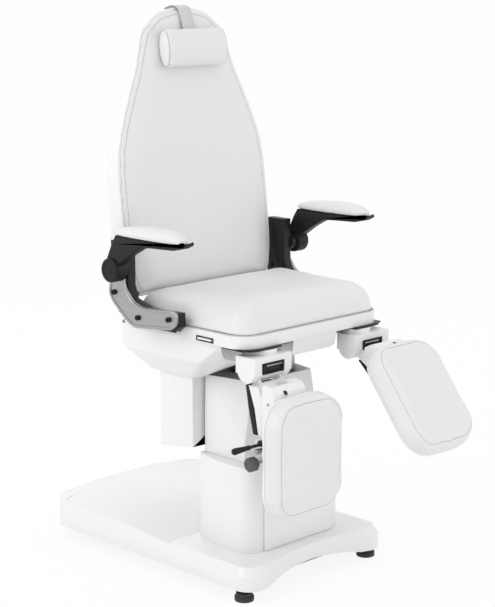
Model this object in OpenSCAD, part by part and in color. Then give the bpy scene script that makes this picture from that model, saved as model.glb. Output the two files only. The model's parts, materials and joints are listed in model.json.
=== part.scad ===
// Electric podiatry chair: a telescopic lift column on a flat base carries the seat, a reclining
// backrest, two fold-up armrests and two separate leg rests. Millimetres, +Z up, the patient faces -Y.
// The origin is on the floor, under the middle of the chair's overall length and width.

/* [Base] */
// Width of the base cover
base_w = 568; // [520:1:640]
// Length of the base cover
base_l = 848; // [800:1:900]
// Gap between the floor and the base cover
base_clear = 35; // [30:1:45]
// Height of the base cover's top at the column
base_top_h = 100; // [95:1:110]
// Height of the base cover's top at its rear edge
base_rear_h = 140; // [130:1:146]
// Radius of the base cover's corners
base_corner_r = 52; // [40:1:60]
// Depth of the curve cut into the base's front edge
base_bay = 38; // [20:1:50]
// Diameter of a levelling foot
foot_d = 54; // [44:1:60]

/* [Column] */
// From the base's front edge back to the column's axis
column_reach = 205; // [195:1:215]
// Outer width of the fixed column tube
tube_w = 150; // [140:1:156]
// Wall of each column tube
tube_wall = 4; // [3:0.5:5]
// Greatest width of the lower column cover
cover_w = 384; // [372:1:400]
// Height of the lower column cover's top
cover_top_h = 348; // [344:1:352]
// Width of the hood that rises out of the lower cover
hood_w = 300; // [290:1:300]
// Height of the hood's top
hood_top_h = 556; // [550:1:560]
// Travel of the seat downwards from the pose shown
lift_stroke = 220; // [200:1:220]

/* [Seat] */
// Width of the seat cushion
seat_w = 562; // [552:1:570]
// Length of the seat cushion
seat_l = 434; // [425:1:434]
// Height of the cushion's underside above the floor
seat_h = 742; // [742:1:750]
// Thickness of the seat cushion at its middle
seat_cushion_h = 80; // [70:1:85]
// Height of the white trim under the cushion
lip_h = 34; // [30:1:36]
// Depth of the rounded underside shell
belly_d = 128; // [126:1:130]

/* [Backrest] */
// Length of the backrest along its own slope
back_l = 805; // [780:1:840]
// Greatest width of the backrest
back_w = 580; // [560:1:580]
// Slope of the backrest away from upright, in degrees
back_lean = 6.5; // [5:0.5:8]
// Depth of the hard shell behind the cushion's seam
back_shell_d = 66; // [60:1:72]
// Length of the roll headrest
roll_l = 238; // [200:1:250]
// Height of the oval roll headrest
roll_h = 118; // [100:1:120]
// Depth of the oval roll headrest, front to rear
roll_t = 52; // [44:1:60]

/* [Armrests] */
// Half the distance between the two armrests' middles
arm_x = 365; // [360:1:375]
// Height of the armrest's pivot above the cushion's underside
arm_rise = 143; // [138:1:148]
// Length of the armrest pad
arm_pad_l = 291; // [280:1:300]
// Width of the armrest pad
arm_pad_w = 74; // [60:1:80]

/* [Leg rests] */
// Half the distance between the two leg rests' middles
leg_x = 177; // [175:1:185]
// From the underside of the seat's trim down to the leg rests' tilt axis
leg_drop = 56; // [54:1:58]
// Width of a leg pad
leg_pad_w = 266; // [250:1:270]
// Length of a leg pad
leg_pad_l = 338; // [320:1:340]
// Thickness of a leg pad at its edge
leg_pad_t = 74; // [66:1:76]
// How far the raised leg rest stands up from hanging, in degrees
raised_tilt = 37.5; // [0:0.5:42.5]
// Diameter of the lobed clamp knob
knob_d = 40; // [34:1:44]

/* [Fits] */
// Radial clearance of a pin in its bore
pin_gap = 0.05; // [0.02:0.01:0.1]
// Gap between parts that slide past each other
slide_gap = 0.3; // [0.25:0.05:0.4]
// Gap between a cushion and the board it lies on
rest_gap = 0.3; // [0.2:0.05:0.5]

/* [Hidden] */

// Overrun of a cut past the face that it opens
cut = 1;
// Facets of the posts that a hull joins
post_fn = 32;
// Facets of true round parts
round_fn = 64;

// The column's axis, behind the middle of the chair's overall length
column_y = -53.1;
base_front_y = column_y - column_reach;
base_rear_y = base_front_y + base_l;

// Front and rear face of the hood, from the column's axis, and the axis of the tubes between them
hood_front = 55;
hood_rear = 109;
tube_y = column_y + (hood_rear - hood_front) / 2;
outer_half = tube_w / 2;

// Underside of the seat's trim, where frame, trim and underside shell meet
rim_z = seat_h - lip_h;
arm_pivot_h = seat_h + arm_rise;
leg_axis_h = rim_z - leg_drop;

// Places written as shares of a length and a height
function places(shares, l, h) = [for (p = shares) [p.x * l, p.y * h]];

white = [0.93, 0.93, 0.93];
trim_white = [0.88, 0.88, 0.88];
vinyl = [0.86, 0.86, 0.86];
black = [0.12, 0.12, 0.12];
steel = [0.55, 0.56, 0.58];
silver = [0.75, 0.76, 0.78];
grey = [0.32, 0.32, 0.33];

// A plate with round corners, middle at x = 0, from y0 to y1
module round_plate(w, y0, y1, r) {
    for (s = [-1, 1]) for (y = [y0 + r, y1 - r])
        translate([s * (w / 2 - r), y]) circle(r, $fn = round_fn);
    translate([-w / 2 + r, y0]) square([w - 2 * r, y1 - y0]);
    translate([-w / 2, y0 + r]) square([w, y1 - y0 - 2 * r]);
}

// A flat bar from a to b with round eyes that stand a little proud of its sides
eye_proud = 1;
module round_bar(a, b, r) {
    d = b - a;
    u = [-d.y, d.x] * (r - eye_proud) / norm(d);
    for (p = [a, b]) translate(p) circle(r, $fn = round_fn);
    polygon([a + u, a - u, b - u, b + u]);
}

// Stands an outline drawn as (y, z) up between x0 and x1
module along_x(x0, x1) {
    translate([x0, 0, 0]) rotate([90, 0, 90]) linear_extrude(x1 - x0) children();
}

// Four posts for a hull, at the corners of a plate from y0 to y1
module corner_posts(w, y0, y1, r, z0, z1) {
    for (s = [-1, 1]) for (y = [y0 + r, y1 - r])
        translate([s * (w / 2 - r), y, z0]) cylinder(r = r, h = z1 - z0, $fn = post_fn);
}

// A box from x0 to x1, y0 to y1 and z0 to z1
module box(x0, x1, y0, y1, z0, z1) {
    translate([x0, y0, z0]) cube([x1 - x0, y1 - y0, z1 - z0]);
}

// A pin along X from x0 to x1
module pin_x(x0, x1, y, z, r) {
    translate([x0, y, z]) rotate([0, 90, 0]) cylinder(r = r, h = x1 - x0, $fn = round_fn);
}

// A pin along Y from y0 to y1
module pin_y(x, y0, y1, z, r) {
    translate([x, y1, z]) rotate([90, 0, 0]) cylinder(r = r, h = y1 - y0, $fn = round_fn);
}

// Round-cornered outline as a list of points, n steps to a corner, counter-clockwise
function round_outline(hw, hl, r, n, rear_r = -1) = [for (c = [0:3]) for (i = [0:n])
    let(a = 90 * (c + i / n), sx = (c == 0 || c == 3) ? 1 : -1, sy = c < 2 ? 1 : -1,
        q = sy > 0 && rear_r >= 0 ? rear_r : r)
    [sx * (hw - q) + q * cos(a), sy * (hl - q) + q * sin(a)]];

// A closed solid through rings of points that run counter-clockwise seen from its crown
module loft(rings, crown) {
    n = len(rings[0]);
    last = (len(rings) - 1) * n;
    polyhedron(
        points = concat([for (ring = rings) each ring], [crown]),
        faces = concat(
            [[for (i = [0:n - 1]) i]],
            [for (k = [0:len(rings) - 2]) for (i = [0:n - 1]) let(j = (i + 1) % n)
                each [[k * n + i, (k + 1) * n + j, k * n + j], [k * n + i, (k + 1) * n + i, (k + 1) * n + j]]],
            [for (i = [0:n - 1]) [last + (i + 1) % n, last + i, len(rings) * n]]));
}

// Base frame: two rails, three cross members and the plate that the column stands on
rail_w = 38;
rail_h = 30;
rail_gap = 5;
rail_end_gap = 28;
rail_z = base_clear + rail_gap;
foot_inset = 32;
foot_front_inset = 50;
foot_rear_inset = 62;
foot_x = base_w / 2 - foot_inset;
foot_rear_side = 109;
foot_rear_x = base_w / 2 - foot_rear_side;
foot_front_y = base_front_y + foot_front_inset;
foot_rear_y = base_rear_y - foot_rear_inset;
foot_stem_r = 6;
member_w = 30;
member_reach = 115;
plate_t = 8;
plate_w = 240;
plate_lift = 18;
plate_top_z = rail_z + plate_lift;
cover_wall = 4;
cover_post_x = 210;

module base_frame() {
    color(steel) difference() {
        union() {
            for (s = [-1, 1])
                box(s * foot_x - rail_w / 2, s * foot_x + rail_w / 2, base_front_y + rail_end_gap,
                    base_rear_y - rail_end_gap, rail_z, rail_z + rail_h);
            for (y = [column_y - member_reach - member_w, column_y + member_reach,
                    foot_rear_y - member_w / 2])
                box(-foot_x, foot_x, y, y + member_w, rail_z, rail_z + rail_h);
            box(-plate_w / 2, plate_w / 2, column_y - member_reach - cut, column_y + member_reach + cut,
                plate_top_z - plate_t, plate_top_z);
            for (s = [-1, 1]) for (y = [column_y - member_reach - member_w, column_y + member_reach])
                box(s * cover_post_x - member_w / 2, s * cover_post_x + member_w / 2, y, y + member_w,
                    rail_z, base_top_h - cover_wall);
        }
        for (s = [-1, 1]) for (at = [[foot_x, foot_front_y], [foot_rear_x, foot_rear_y]])
            translate([s * at.x, at.y, rail_z - cut])
                cylinder(r = foot_stem_r + pin_gap, h = rail_h + 2 * cut, $fn = round_fn);
    }
}

// Levelling foot: a rubber pad with a waist and a threaded stem in the rail
foot_pad_h = 14;
foot_cap_h = 10;
foot_cap_inset = 4;
foot_stem_end_gap = 2;
foot_collar_r = 11;

module levelling_foot(x, y) {
    color(black) translate([x, y, 0]) {
        cylinder(d = foot_d, h = foot_pad_h, $fn = round_fn);
        cylinder(d = foot_d - 2 * foot_cap_inset, h = foot_pad_h + foot_cap_h, $fn = round_fn);
        cylinder(r = foot_collar_r, h = rail_z, $fn = round_fn);
        cylinder(r = foot_stem_r, h = rail_z + rail_h - foot_stem_end_gap, $fn = round_fn);
    }
}

// Base cover: a hollow moulding with a flat front deck, two long side facets and a bay in its front
band_h = 40;
deck_end = 135;
deck_inset = 14;
deck_front_inset = 18;
deck_skin = 5;
ridge_w = 250;
ridge_inset = 12;
ridge_l = 24;
corner_drop = 15;
base_arch = 20;
arch_half_w = 190;
bay_half_w = 222;
column_hole_gap = 5;

module base_form(t) {
    bottom = base_clear - (t > 0 ? cut : 0);
    deck_w = base_w - 2 * deck_inset - 2 * t;
    deck_r = base_corner_r - deck_inset;
    y1 = column_y + deck_end;
    hull() {
        corner_posts(base_w - 2 * t, base_front_y + t, base_rear_y - t, base_corner_r - t,
            bottom, base_clear + band_h - t);
        corner_posts(deck_w, base_front_y + deck_front_inset + t, y1, deck_r, base_top_h - deck_skin - t,
            base_top_h - t);
    }
    hull() {
        box(-base_w / 2 + t, base_w / 2 - t, y1 - deck_skin, y1, bottom, base_clear + band_h - t);
        box(-deck_w / 2, deck_w / 2, y1 - deck_skin, y1, bottom, base_top_h - t);
        for (s = [-1, 1])
            translate([s * (base_w / 2 - base_corner_r), base_rear_y - base_corner_r, bottom])
                cylinder(r = base_corner_r - t, h = base_rear_h - corner_drop - bottom - t, $fn = post_fn);
        corner_posts(ridge_w, base_rear_y - ridge_inset - ridge_l, base_rear_y - ridge_inset - t,
            ridge_inset - t, base_rear_h - deck_skin - t, base_rear_h - t);
    }
}

// A long round cut whose chord is 2 * half_w and whose depth is d
function arc_r(half_w, d) = (half_w * half_w + d * d) / (2 * d);

inlet_x = 150;
inlet_z = 74;
inlet_w = 50;
inlet_h = 28;
inlet_flange_t = 3;
inlet_body_w = 32;
inlet_body_h = 22;
inlet_body_l = 28;
inlet_mouth = 4;
inlet_mouth_l = 18;

module base_cover() {
    bay_r = arc_r(bay_half_w, base_bay);
    arch_r = arc_r(arch_half_w, base_arch);
    hole = outer_half + column_hole_gap;
    color(white) difference() {
        base_form(0);
        difference() {
            base_form(cover_wall);
            translate([0, base_front_y + base_bay - bay_r, 0])
                cylinder(r = bay_r + cover_wall, h = base_rear_h, $fn = round_fn * 4);
        }
        translate([0, base_front_y + base_bay - bay_r, 0])
            cylinder(r = bay_r, h = base_rear_h + cut, $fn = round_fn * 4);
        translate([0, base_front_y - cut, base_clear + base_arch - arch_r]) rotate([-90, 0, 0])
            cylinder(r = arch_r, h = base_bay + base_corner_r, $fn = round_fn * 4);
        box(-hole, hole, tube_y - hole, tube_y + hole, base_top_h / 2, base_rear_h + cut);
        box(inlet_x - inlet_body_w / 2 - slide_gap, inlet_x + inlet_body_w / 2 + slide_gap,
            base_rear_y - base_corner_r, base_rear_y + cut,
            inlet_z - inlet_body_h / 2 - slide_gap, inlet_z + inlet_body_h / 2 + slide_gap);
    }
}

// Mains inlet: a socket let into the rear wall of the base cover
module mains_inlet() {
    color(black) difference() {
        union() {
            box(inlet_x - inlet_w / 2, inlet_x + inlet_w / 2, base_rear_y, base_rear_y + inlet_flange_t,
                inlet_z - inlet_h / 2, inlet_z + inlet_h / 2);
            box(inlet_x - inlet_body_w / 2, inlet_x + inlet_body_w / 2, base_rear_y - inlet_body_l,
                base_rear_y + inlet_flange_t, inlet_z - inlet_body_h / 2, inlet_z + inlet_body_h / 2);
        }
        box(inlet_x - inlet_body_w / 2 + inlet_mouth, inlet_x + inlet_body_w / 2 - inlet_mouth,
            base_rear_y + inlet_flange_t - inlet_mouth_l, base_rear_y + inlet_flange_t + cut,
            inlet_z - inlet_body_h / 2 + inlet_mouth, inlet_z + inlet_body_h / 2 - inlet_mouth);
    }
}

// Telescopic column: three square tubes, each sliding in the one outside it
outer_top_drop = 8;
middle_top_drop = 11;
stroke_margin = 22;
rod_margin = 10;
carriage_t = 18;
carriage_w = 240;
carriage_l = 182;
actuator_floor = 42;
outer_top_z = cover_top_h - outer_top_drop;
middle_bottom_z = plate_top_z + lift_stroke / 2 + stroke_margin;
middle_top_z = hood_top_h - middle_top_drop;
inner_bottom_z = plate_top_z + actuator_floor + lift_stroke + rod_margin;
carriage_z = rim_z - carriage_t;

module column_tube(half_w, z0, z1) {
    inside = half_w - tube_wall;
    difference() {
        box(-half_w, half_w, tube_y - half_w, tube_y + half_w, z0, z1);
        box(-inside, inside, tube_y - inside, tube_y + inside, z0 - cut, z1 + cut);
    }
}

middle_half = outer_half - tube_wall - slide_gap;
inner_half = middle_half - tube_wall - slide_gap;

module column_outer_tube() { color(steel) column_tube(outer_half, plate_top_z, outer_top_z); }

module column_middle_tube() { color(steel) column_tube(middle_half, middle_bottom_z, middle_top_z); }

module column_inner_tube() {
    color(steel) {
        column_tube(inner_half, inner_bottom_z, carriage_z);
        box(-carriage_w / 2, carriage_w / 2, tube_y - carriage_l / 2, tube_y + carriage_l / 2,
            carriage_z, rim_z);
    }
}

// Lift actuator: a tube on the base plate and a rod under the carriage
actuator_r = 24;
actuator_top_z = outer_top_z + rod_margin;
lift_rod_r = 12;

module lift_actuator_body() {
    color(black) translate([0, tube_y, plate_top_z]) difference() {
        cylinder(r = actuator_r, h = actuator_top_z - plate_top_z, $fn = round_fn);
        translate([0, 0, actuator_floor])
            cylinder(r = lift_rod_r + pin_gap, h = actuator_top_z - plate_top_z, $fn = round_fn);
    }
}

module lift_actuator_rod() {
    color(silver) translate([0, tube_y, inner_bottom_z])
        cylinder(r = lift_rod_r, h = carriage_z - inner_bottom_z, $fn = round_fn);
}

// Lower column cover: sides that bulge in plan round to a flat front, under a ledge for the hood
cover_front = 113;
cover_rear = 113;
cover_rear_w = 328;
cover_front_r = 45;
cover_skin = 3;
cover_side_y = -40;
ledge_t = 4;
hood_gap = 1.5;
arc_steps = 10;

function cover_outline(t) = let(
        hw = cover_w / 2 - t,
        rear_hw = cover_rear_w / 2 - t,
        fr = cover_front_r,
        side_r = arc_r(cover_rear - cover_side_y, hw - rear_hw),
        half = concat(
            [for (i = [0:arc_steps]) let(y = cover_rear - t + (cover_side_y - cover_rear + t) * i / arc_steps)
                [hw - side_r + sqrt(side_r * side_r - pow(y - cover_side_y, 2)), y]],
            [for (i = [0:arc_steps]) let(a = 90 * i / arc_steps)
                [hw - fr + fr * cos(a), -cover_front + t + fr - fr * sin(a)]]))
    concat(half, [for (i = [len(half) - 1:-1:0]) [-half[i].x, half[i].y]]);

module lower_column_cover() {
    color(white) translate([0, column_y, 0]) difference() {
        translate([0, 0, base_top_h]) linear_extrude(cover_top_h - base_top_h) polygon(cover_outline(0));
        translate([0, 0, base_top_h - cut])
            linear_extrude(cover_top_h - ledge_t - base_top_h + cut) polygon(cover_outline(cover_skin));
        box(-hood_w / 2 - hood_gap, hood_w / 2 + hood_gap, -hood_front - hood_gap, cover_rear - cover_skin,
            cover_top_h - 2 * ledge_t, cover_top_h + cut);
    }
}

// Flat front panel between the two vertical seams
panel_w = 268;
panel_t = 8;
panel_edge_gap = 1;

module column_front_panel() {
    color(white) box(-panel_w / 2, panel_w / 2, column_y - cover_front - panel_t, column_y - cover_front,
        base_top_h + panel_edge_gap, cover_top_h - panel_edge_gap);
}

// Hood: rises out of the lower cover and leans in above a crease that climbs to the rear
hood_bottom_z = 215;
hood_crease_front_z = 407;
hood_crease_rear_z = 471;
hood_top_inset = 32;
hood_top_rear_inset = 3;
hood_corner_r = 4;
hood_skin = 3;
collar_t = 12;
collar_z = middle_top_z - collar_t - hood_skin;

module hood_form(t) {
    r = hood_corner_r - t;
    hull() {
        for (s = [-1, 1]) {
            x = s * (hood_w / 2 - hood_corner_r);
            translate([x, -hood_front + hood_corner_r, hood_bottom_z - (t > 0 ? cut : 0)])
                cylinder(r = r, h = hood_crease_front_z - hood_bottom_z, $fn = post_fn);
            translate([x, hood_rear - hood_corner_r, hood_bottom_z - (t > 0 ? cut : 0)])
                cylinder(r = r, h = hood_crease_rear_z - hood_bottom_z, $fn = post_fn);
        }
        for (s = [-1, 1]) for (at = [[hood_top_inset, -hood_front + hood_corner_r],
                [hood_top_rear_inset, hood_rear - hood_corner_r]])
            translate([s * (hood_w / 2 - at.x - hood_corner_r), at.y, hood_top_h - hood_skin - t])
                cylinder(r = r, h = hood_skin, $fn = post_fn);
    }
}

module column_hood() {
    color(white) translate([0, column_y, 0]) difference() {
        hood_form(0);
        difference() {
            hood_form(hood_skin);
            box(-hood_w / 2, hood_w / 2, -hood_front, hood_rear, collar_z, collar_z + collar_t);
        }
        box(-middle_half, middle_half, tube_y - column_y - middle_half, tube_y - column_y + middle_half,
            collar_z - cut, hood_top_h + cut);
    }
}

module levelling_foot_front_left() { levelling_foot(foot_x, foot_front_y); }
module levelling_foot_front_right() { levelling_foot(-foot_x, foot_front_y); }
module levelling_foot_rear_left() { levelling_foot(foot_rear_x, foot_rear_y); }
module levelling_foot_rear_right() { levelling_foot(-foot_rear_x, foot_rear_y); }

// Seat: every y below is measured from the column's axis
module at_column() { translate([0, column_y, 0]) children(); }

// Mirrors a part drawn for the patient's left (s = 1) to the right (s = -1)
module sided(s) { mirror([s < 0 ? 1 : 0, 0, 0]) children(); }

lip_front = -185;
lip_rear = 365;
lip_w = seat_w + 4;
lip_t = 6;
lip_front_r = 66;
lip_rear_r = 110;

// Seat outline: rounder at the rear than at the front, drawn in by t
module seat_outline(t) {
    hw = lip_w / 2 - t;
    fx = lip_w / 2 - lip_front_r;
    rx = lip_w / 2 - lip_rear_r;
    for (s = [-1, 1]) {
        translate([s * fx, lip_front + lip_front_r]) circle(lip_front_r - t, $fn = round_fn);
        translate([s * rx, lip_rear - lip_rear_r]) circle(lip_rear_r - t, $fn = round_fn);
    }
    translate([-hw, lip_front + lip_front_r])
        square([2 * hw, lip_rear - lip_rear_r - lip_front - lip_front_r]);
    translate([-fx, lip_front + t]) square([2 * fx, lip_rear_r]);
    translate([-rx, lip_rear - lip_rear_r - t]) square([2 * rx, lip_rear_r]);
}

// Windows in the trim and the feet of the arm brackets that pass through them to the frame
bracket_foot_ys = [[60, 100], [180, 220]];
bracket_foot_up = 16;
bracket_foot_h = 12;
bracket_foot_z = rim_z + bracket_foot_up;
bracket_foot_lap = 12;
bracket_in = 291;

module seat_lip() {
    inner = lip_w / 2 - lip_t;
    color(trim_white) at_column() difference() {
        translate([0, 0, rim_z]) linear_extrude(lip_h) seat_outline(0);
        translate([0, 0, rim_z - cut]) linear_extrude(lip_h + 2 * cut) seat_outline(lip_t);
        for (s = [-1, 1]) sided(s) for (y = bracket_foot_ys)
            box(inner - lip_t, bracket_in, y[0] - slide_gap, y[1] + slide_gap,
                bracket_foot_z - slide_gap, bracket_foot_z + bracket_foot_h + slide_gap);
        sided(-1) {
            box(inner - lip_t, lip_w / 2 + cut, switch_y - switch_l / 2 + switch_rim,
                switch_y + switch_l / 2 - switch_rim, switch_z - switch_h / 2 + switch_rim,
                switch_z + switch_h / 2 - switch_rim);
            translate([lip_w / 2 - rocker_in, switch_y, switch_z - switch_h / 2 - slide_gap])
                cylinder(r = rocker_pin_r + pin_gap, h = switch_h + 2 * slide_gap, $fn = round_fn);
        }
    }
}

// Seat frame: side rails, four cross members and the blocks that hold the leg rests' swivel pins
frame_w = lip_w - 2 * lip_t;
frame_rail_w = 40;
frame_h = 24;
frame_front = -120;
frame_rear = 330;
front_bar = [-167, -143];
middle_bar = [-60, -40];
actuator_bar = [100, 120];
rear_bar = [340, 359];
rear_bar_w = 300;
swivel_x = 190;
swivel_back = -155;
swivel_r = 12;
block_half = 23;
block_h = 30;
board_t = 10;

module seat_frame() {
    color(steel) at_column() difference() {
        union() {
            for (s = [-1, 1]) sided(s) {
                box(frame_w / 2 - frame_rail_w, frame_w / 2, frame_front, lip_rear - lip_rear_r,
                    rim_z, rim_z + frame_h);
                box(rear_bar_w / 2 - frame_rail_w, rear_bar_w / 2, actuator_bar[0], rear_bar[1],
                    rim_z, rim_z + frame_h);
                box(swivel_x - block_half, swivel_x + block_half, swivel_back - block_half,
                    swivel_back + block_half, rim_z, rim_z + frame_h);
                box(swivel_x, frame_w / 2, frame_front - cut, frame_front + frame_rail_w,
                    rim_z, rim_z + frame_h);
                box(swivel_x - block_half, swivel_x + block_half, front_bar[0], frame_front + frame_rail_w,
                    rim_z, rim_z + frame_h);
            }
            box(-swivel_x, swivel_x, front_bar[0], front_bar[1], rim_z, rim_z + frame_h);
            for (bar = [middle_bar, actuator_bar])
                box(-frame_w / 2, frame_w / 2, bar[0], bar[1], rim_z, rim_z + frame_h);
            box(-rear_bar_w / 2, rear_bar_w / 2, rear_bar[0], rear_bar[1], rim_z, rim_z + frame_h);
        }
        for (s = [-1, 1]) translate([s * swivel_x, swivel_back, rim_z - cut])
            cylinder(r = swivel_r + pin_gap, h = frame_h + 2 * cut, $fn = round_fn);
    }
}

lever_slot_hw = 15;
lever_slot = [251, 322];

module seat_board() {
    color(black) at_column() difference() {
        translate([0, 0, rim_z + frame_h]) linear_extrude(lip_h - frame_h) seat_outline(lip_t);
        box(-lever_slot_hw, lever_slot_hw, lever_slot[0], lever_slot[1], rim_z, seat_h + cut);
    }
}

// Seat cushion: sides that draw in to the seam on the trim, and a crowned top
cushion_r = 64;
cushion_rear_r = 20;
seat_front_gap = 2;
seat_draw = 91;
seat_crown = 3;
// Rings as (share of the draw-in, share of the height under the crown)
seat_ring_shares = [[0.056, 0], [0.011, 0.065], [0, 0.182], [0.011, 0.39], [0.056, 0.597], [0.144, 0.766],
    [0.289, 0.896], [0.533, 0.961], [1, 1]];

module seat_cushion() {
    color(vinyl) at_column() translate([0, lip_front + seat_front_gap + seat_l / 2, seat_h + rest_gap])
        loft([for (k = places(seat_ring_shares, seat_draw, seat_cushion_h - seat_crown))
                let(r = max(cushion_r - k.x, cushion_r / 4), rear_r = max(cushion_rear_r - k.x, cushion_rear_r / 4))
                [for (p = round_outline(seat_w / 2 - k.x, seat_l / 2 - k.x, r, 8, rear_r)) [p.x, p.y, k.y]]],
            [0, 0, seat_cushion_h]);
}

// Underside shell: bulges down to a flat belly over the column, with pockets for the knuckles
shell_wall = 3;
belly_rim_w = 540;
belly_rim_t = 8;
belly_slab_w = 524;
belly_flat_w = 400;
belly_nose_w = 160;
belly_slab_d = 68;
belly_nose_d = 44;
belly_slab_z = rim_z - belly_slab_d;
belly_nose_z = rim_z - belly_nose_d;
belly_z = rim_z - belly_d;
belly_flat = [95, 295];
belly_slab = [-5, 345];
belly_nose = [-172, -60];
belly_r = 30;
belly_open_hw = 156;
belly_open = [-111, 111];
pocket_r = 106;

module belly_form(t) {
    h = t > 0 ? cut : 0;
    hull() {
        corner_posts(belly_rim_w - 2 * t, lip_front + lip_front_r, lip_rear - t, belly_r * 2,
            rim_z - belly_rim_t, rim_z + h);
        corner_posts(belly_rim_w - 2 * lip_front_r, lip_front + lip_t + t, 0, belly_r,
            rim_z - belly_rim_t, rim_z + h);
        corner_posts(belly_slab_w - 2 * t, belly_slab[0], belly_slab[1] - t, belly_r,
            belly_slab_z + t, rim_z);
        corner_posts(belly_flat_w - 2 * t, belly_flat[0] + t, belly_flat[1] - t, belly_r - t,
            belly_z + t, belly_z + t + belly_r);
        corner_posts(belly_nose_w - 2 * t, belly_nose[0] + t, belly_nose[1], belly_r / 2,
            belly_nose_z + t, rim_z);
    }
}

module underside_shell() {
    color(white) at_column() difference() {
        belly_form(0);
        difference() {
            belly_form(shell_wall);
            for (s = [-1, 1]) translate([s * swivel_x, swivel_back, belly_z])
                cylinder(r = pocket_r + shell_wall, h = belly_d + 2 * cut, $fn = round_fn);
        }
        for (s = [-1, 1]) translate([s * swivel_x, swivel_back, belly_z])
            cylinder(r = pocket_r, h = belly_d + 2 * cut, $fn = round_fn);
        box(-belly_open_hw, belly_open_hw, belly_open[0], belly_open[1], belly_z - cut, carriage_z);
    }
}

// Rear housing: hangs under the underside shell behind the hood, open to the front
housing_w = 380;
housing = [115, 268];
housing_r = 30;
housing_wall = 4;
flange_in = 152;
header_drop = 31;
housing_lift = 3;
housing_bottom_z = cover_top_h + housing_lift;

module rear_housing() {
    color(white) at_column() difference() {
        translate([0, 0, housing_bottom_z]) linear_extrude(belly_z - housing_bottom_z) {
            round_plate(housing_w, housing[0], housing[1], housing_r);
            translate([-housing_w / 2, housing[0]]) square([housing_w, housing_r]);
        }
        translate([0, 0, housing_bottom_z + housing_wall])
            linear_extrude(belly_z - housing_bottom_z - 2 * housing_wall)
                round_plate(housing_w - 2 * housing_wall, housing[0] + housing_wall,
                    housing[1] - housing_wall, housing_r - housing_wall);
        box(-flange_in, flange_in, housing[0] - cut, housing[0] + housing_wall + cut,
            housing_bottom_z + housing_wall, belly_z - header_drop);
    }
}

// Swivel plates: black plates under the trim that the leg rests' knuckles turn against
swivel_plate_t = 5;
swivel_plate = [150, 275, -197, -105];
swivel_plate_r = 42;

module swivel_plates() {
    color(black) at_column() for (s = [-1, 1]) sided(s)
        translate([0, 0, rim_z - swivel_plate_t]) linear_extrude(swivel_plate_t) difference() {
            union() {
                translate([swivel_plate[0], swivel_plate[2]])
                    square([swivel_plate[1] - swivel_plate_r - swivel_plate[0],
                        swivel_plate[3] - swivel_plate[2]]);
                translate([swivel_plate[0], swivel_plate[2] + swivel_plate_r])
                    square([swivel_plate[1] - swivel_plate[0],
                        swivel_plate[3] - swivel_plate[2] - swivel_plate_r]);
                translate([swivel_plate[1] - swivel_plate_r, swivel_plate[2] + swivel_plate_r])
                    circle(swivel_plate_r, $fn = round_fn);
                intersection() {
                    translate([swivel_x, swivel_back]) circle(pocket_r - slide_gap, $fn = round_fn);
                    translate([0, lip_front + lip_t + slide_gap]) square([frame_w / 2, 2 * pocket_r]);
                }
            }
            translate([swivel_x, swivel_back]) circle(swivel_r + pin_gap, $fn = round_fn);
        }
}

// Arm brackets: an arm along the trim, an upright for the armrest and a boss for the backrest
back_pivot_y = 285;
back_pivot_up = 20;
back_pivot_z = seat_h + back_pivot_up;
arm_pivot_y = 240;
bracket_t = 34;
boss_r = 14;
back_pin_r = 8;
ear_out = 258;
ear_t = 8;
ear_r = 16;
arm_pin_r = 12;
arm_hub_in = 345;
arm_pin_l = 35;
pivot_lug_t = 10;
pivot_lug_r = 18;
bracket_l = 300;
bracket_over = 72;
bracket_up = arm_rise + bracket_over;
// Outline as (share of the length, share of the height)
bracket_shares = [[0.073, 0.028], [0.08, 0.205], [0.5, 0.186], [0.713, 0.27], [0.757, 0.433],
    [0.757, 1], [1, 1], [1, 0.223], [0.95, 0.158], [0.753, -0.06], [0.633, -0.074], [0.133, -0.042]];

module arm_brackets() {
    color(black) at_column() for (s = [-1, 1]) sided(s) {
        difference() {
            along_x(bracket_in, bracket_in + bracket_t) translate([0, seat_h])
                polygon(places(bracket_shares, bracket_l, bracket_up));
            for (b = bolt_places)
                pin_x(bracket_in - cut, bracket_in + bracket_t + cut, b.x, seat_h + b.y, bolt_r);
        }
        pin_x(bracket_in, bracket_in + pivot_lug_t, back_pivot_y, back_pivot_z, pivot_lug_r);
        pin_x(ear_out + slide_gap, bracket_in + cut, back_pivot_y, back_pivot_z, boss_r);
        pin_x(ear_out - ear_t, bracket_in + cut, back_pivot_y, back_pivot_z, back_pin_r);
        pin_x(bracket_in + bracket_t - cut, arm_hub_in - slide_gap, arm_pivot_y, arm_pivot_h, arm_pin_r * 2);
        pin_x(bracket_in + bracket_t - cut, arm_hub_in + arm_pin_l, arm_pivot_y, arm_pivot_h, arm_pin_r);
        for (y = bracket_foot_ys)
            box(frame_w / 2, bracket_in + bracket_foot_lap, y[0], y[1], bracket_foot_z,
                bracket_foot_z + bracket_foot_h);
    }
}

// Silver plates over the brackets, each held by three bolts
plate_shares = [[0.99, 0.451], [1.007, 0.302], [0.95, 0.195], [0.753, -0.033], [0.643, -0.088], [0.12, -0.014],
    [0.04, 0.056], [0.04, 0.209], [0.107, 0.247], [0.54, 0.195], [0.687, 0.26], [0.78, 0.423], [0.787, 0.54],
    [0.99, 0.54]];
side_plate_t = 12;
bolt_shares = [[0.923, 0.33], [0.593, 0.056], [0.173, 0.116]];
bolt_places = places(bolt_shares, bracket_l, bracket_up);
bolt_r = 5;
bolt_head_r = 8;
bolt_head_h = 5;

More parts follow.
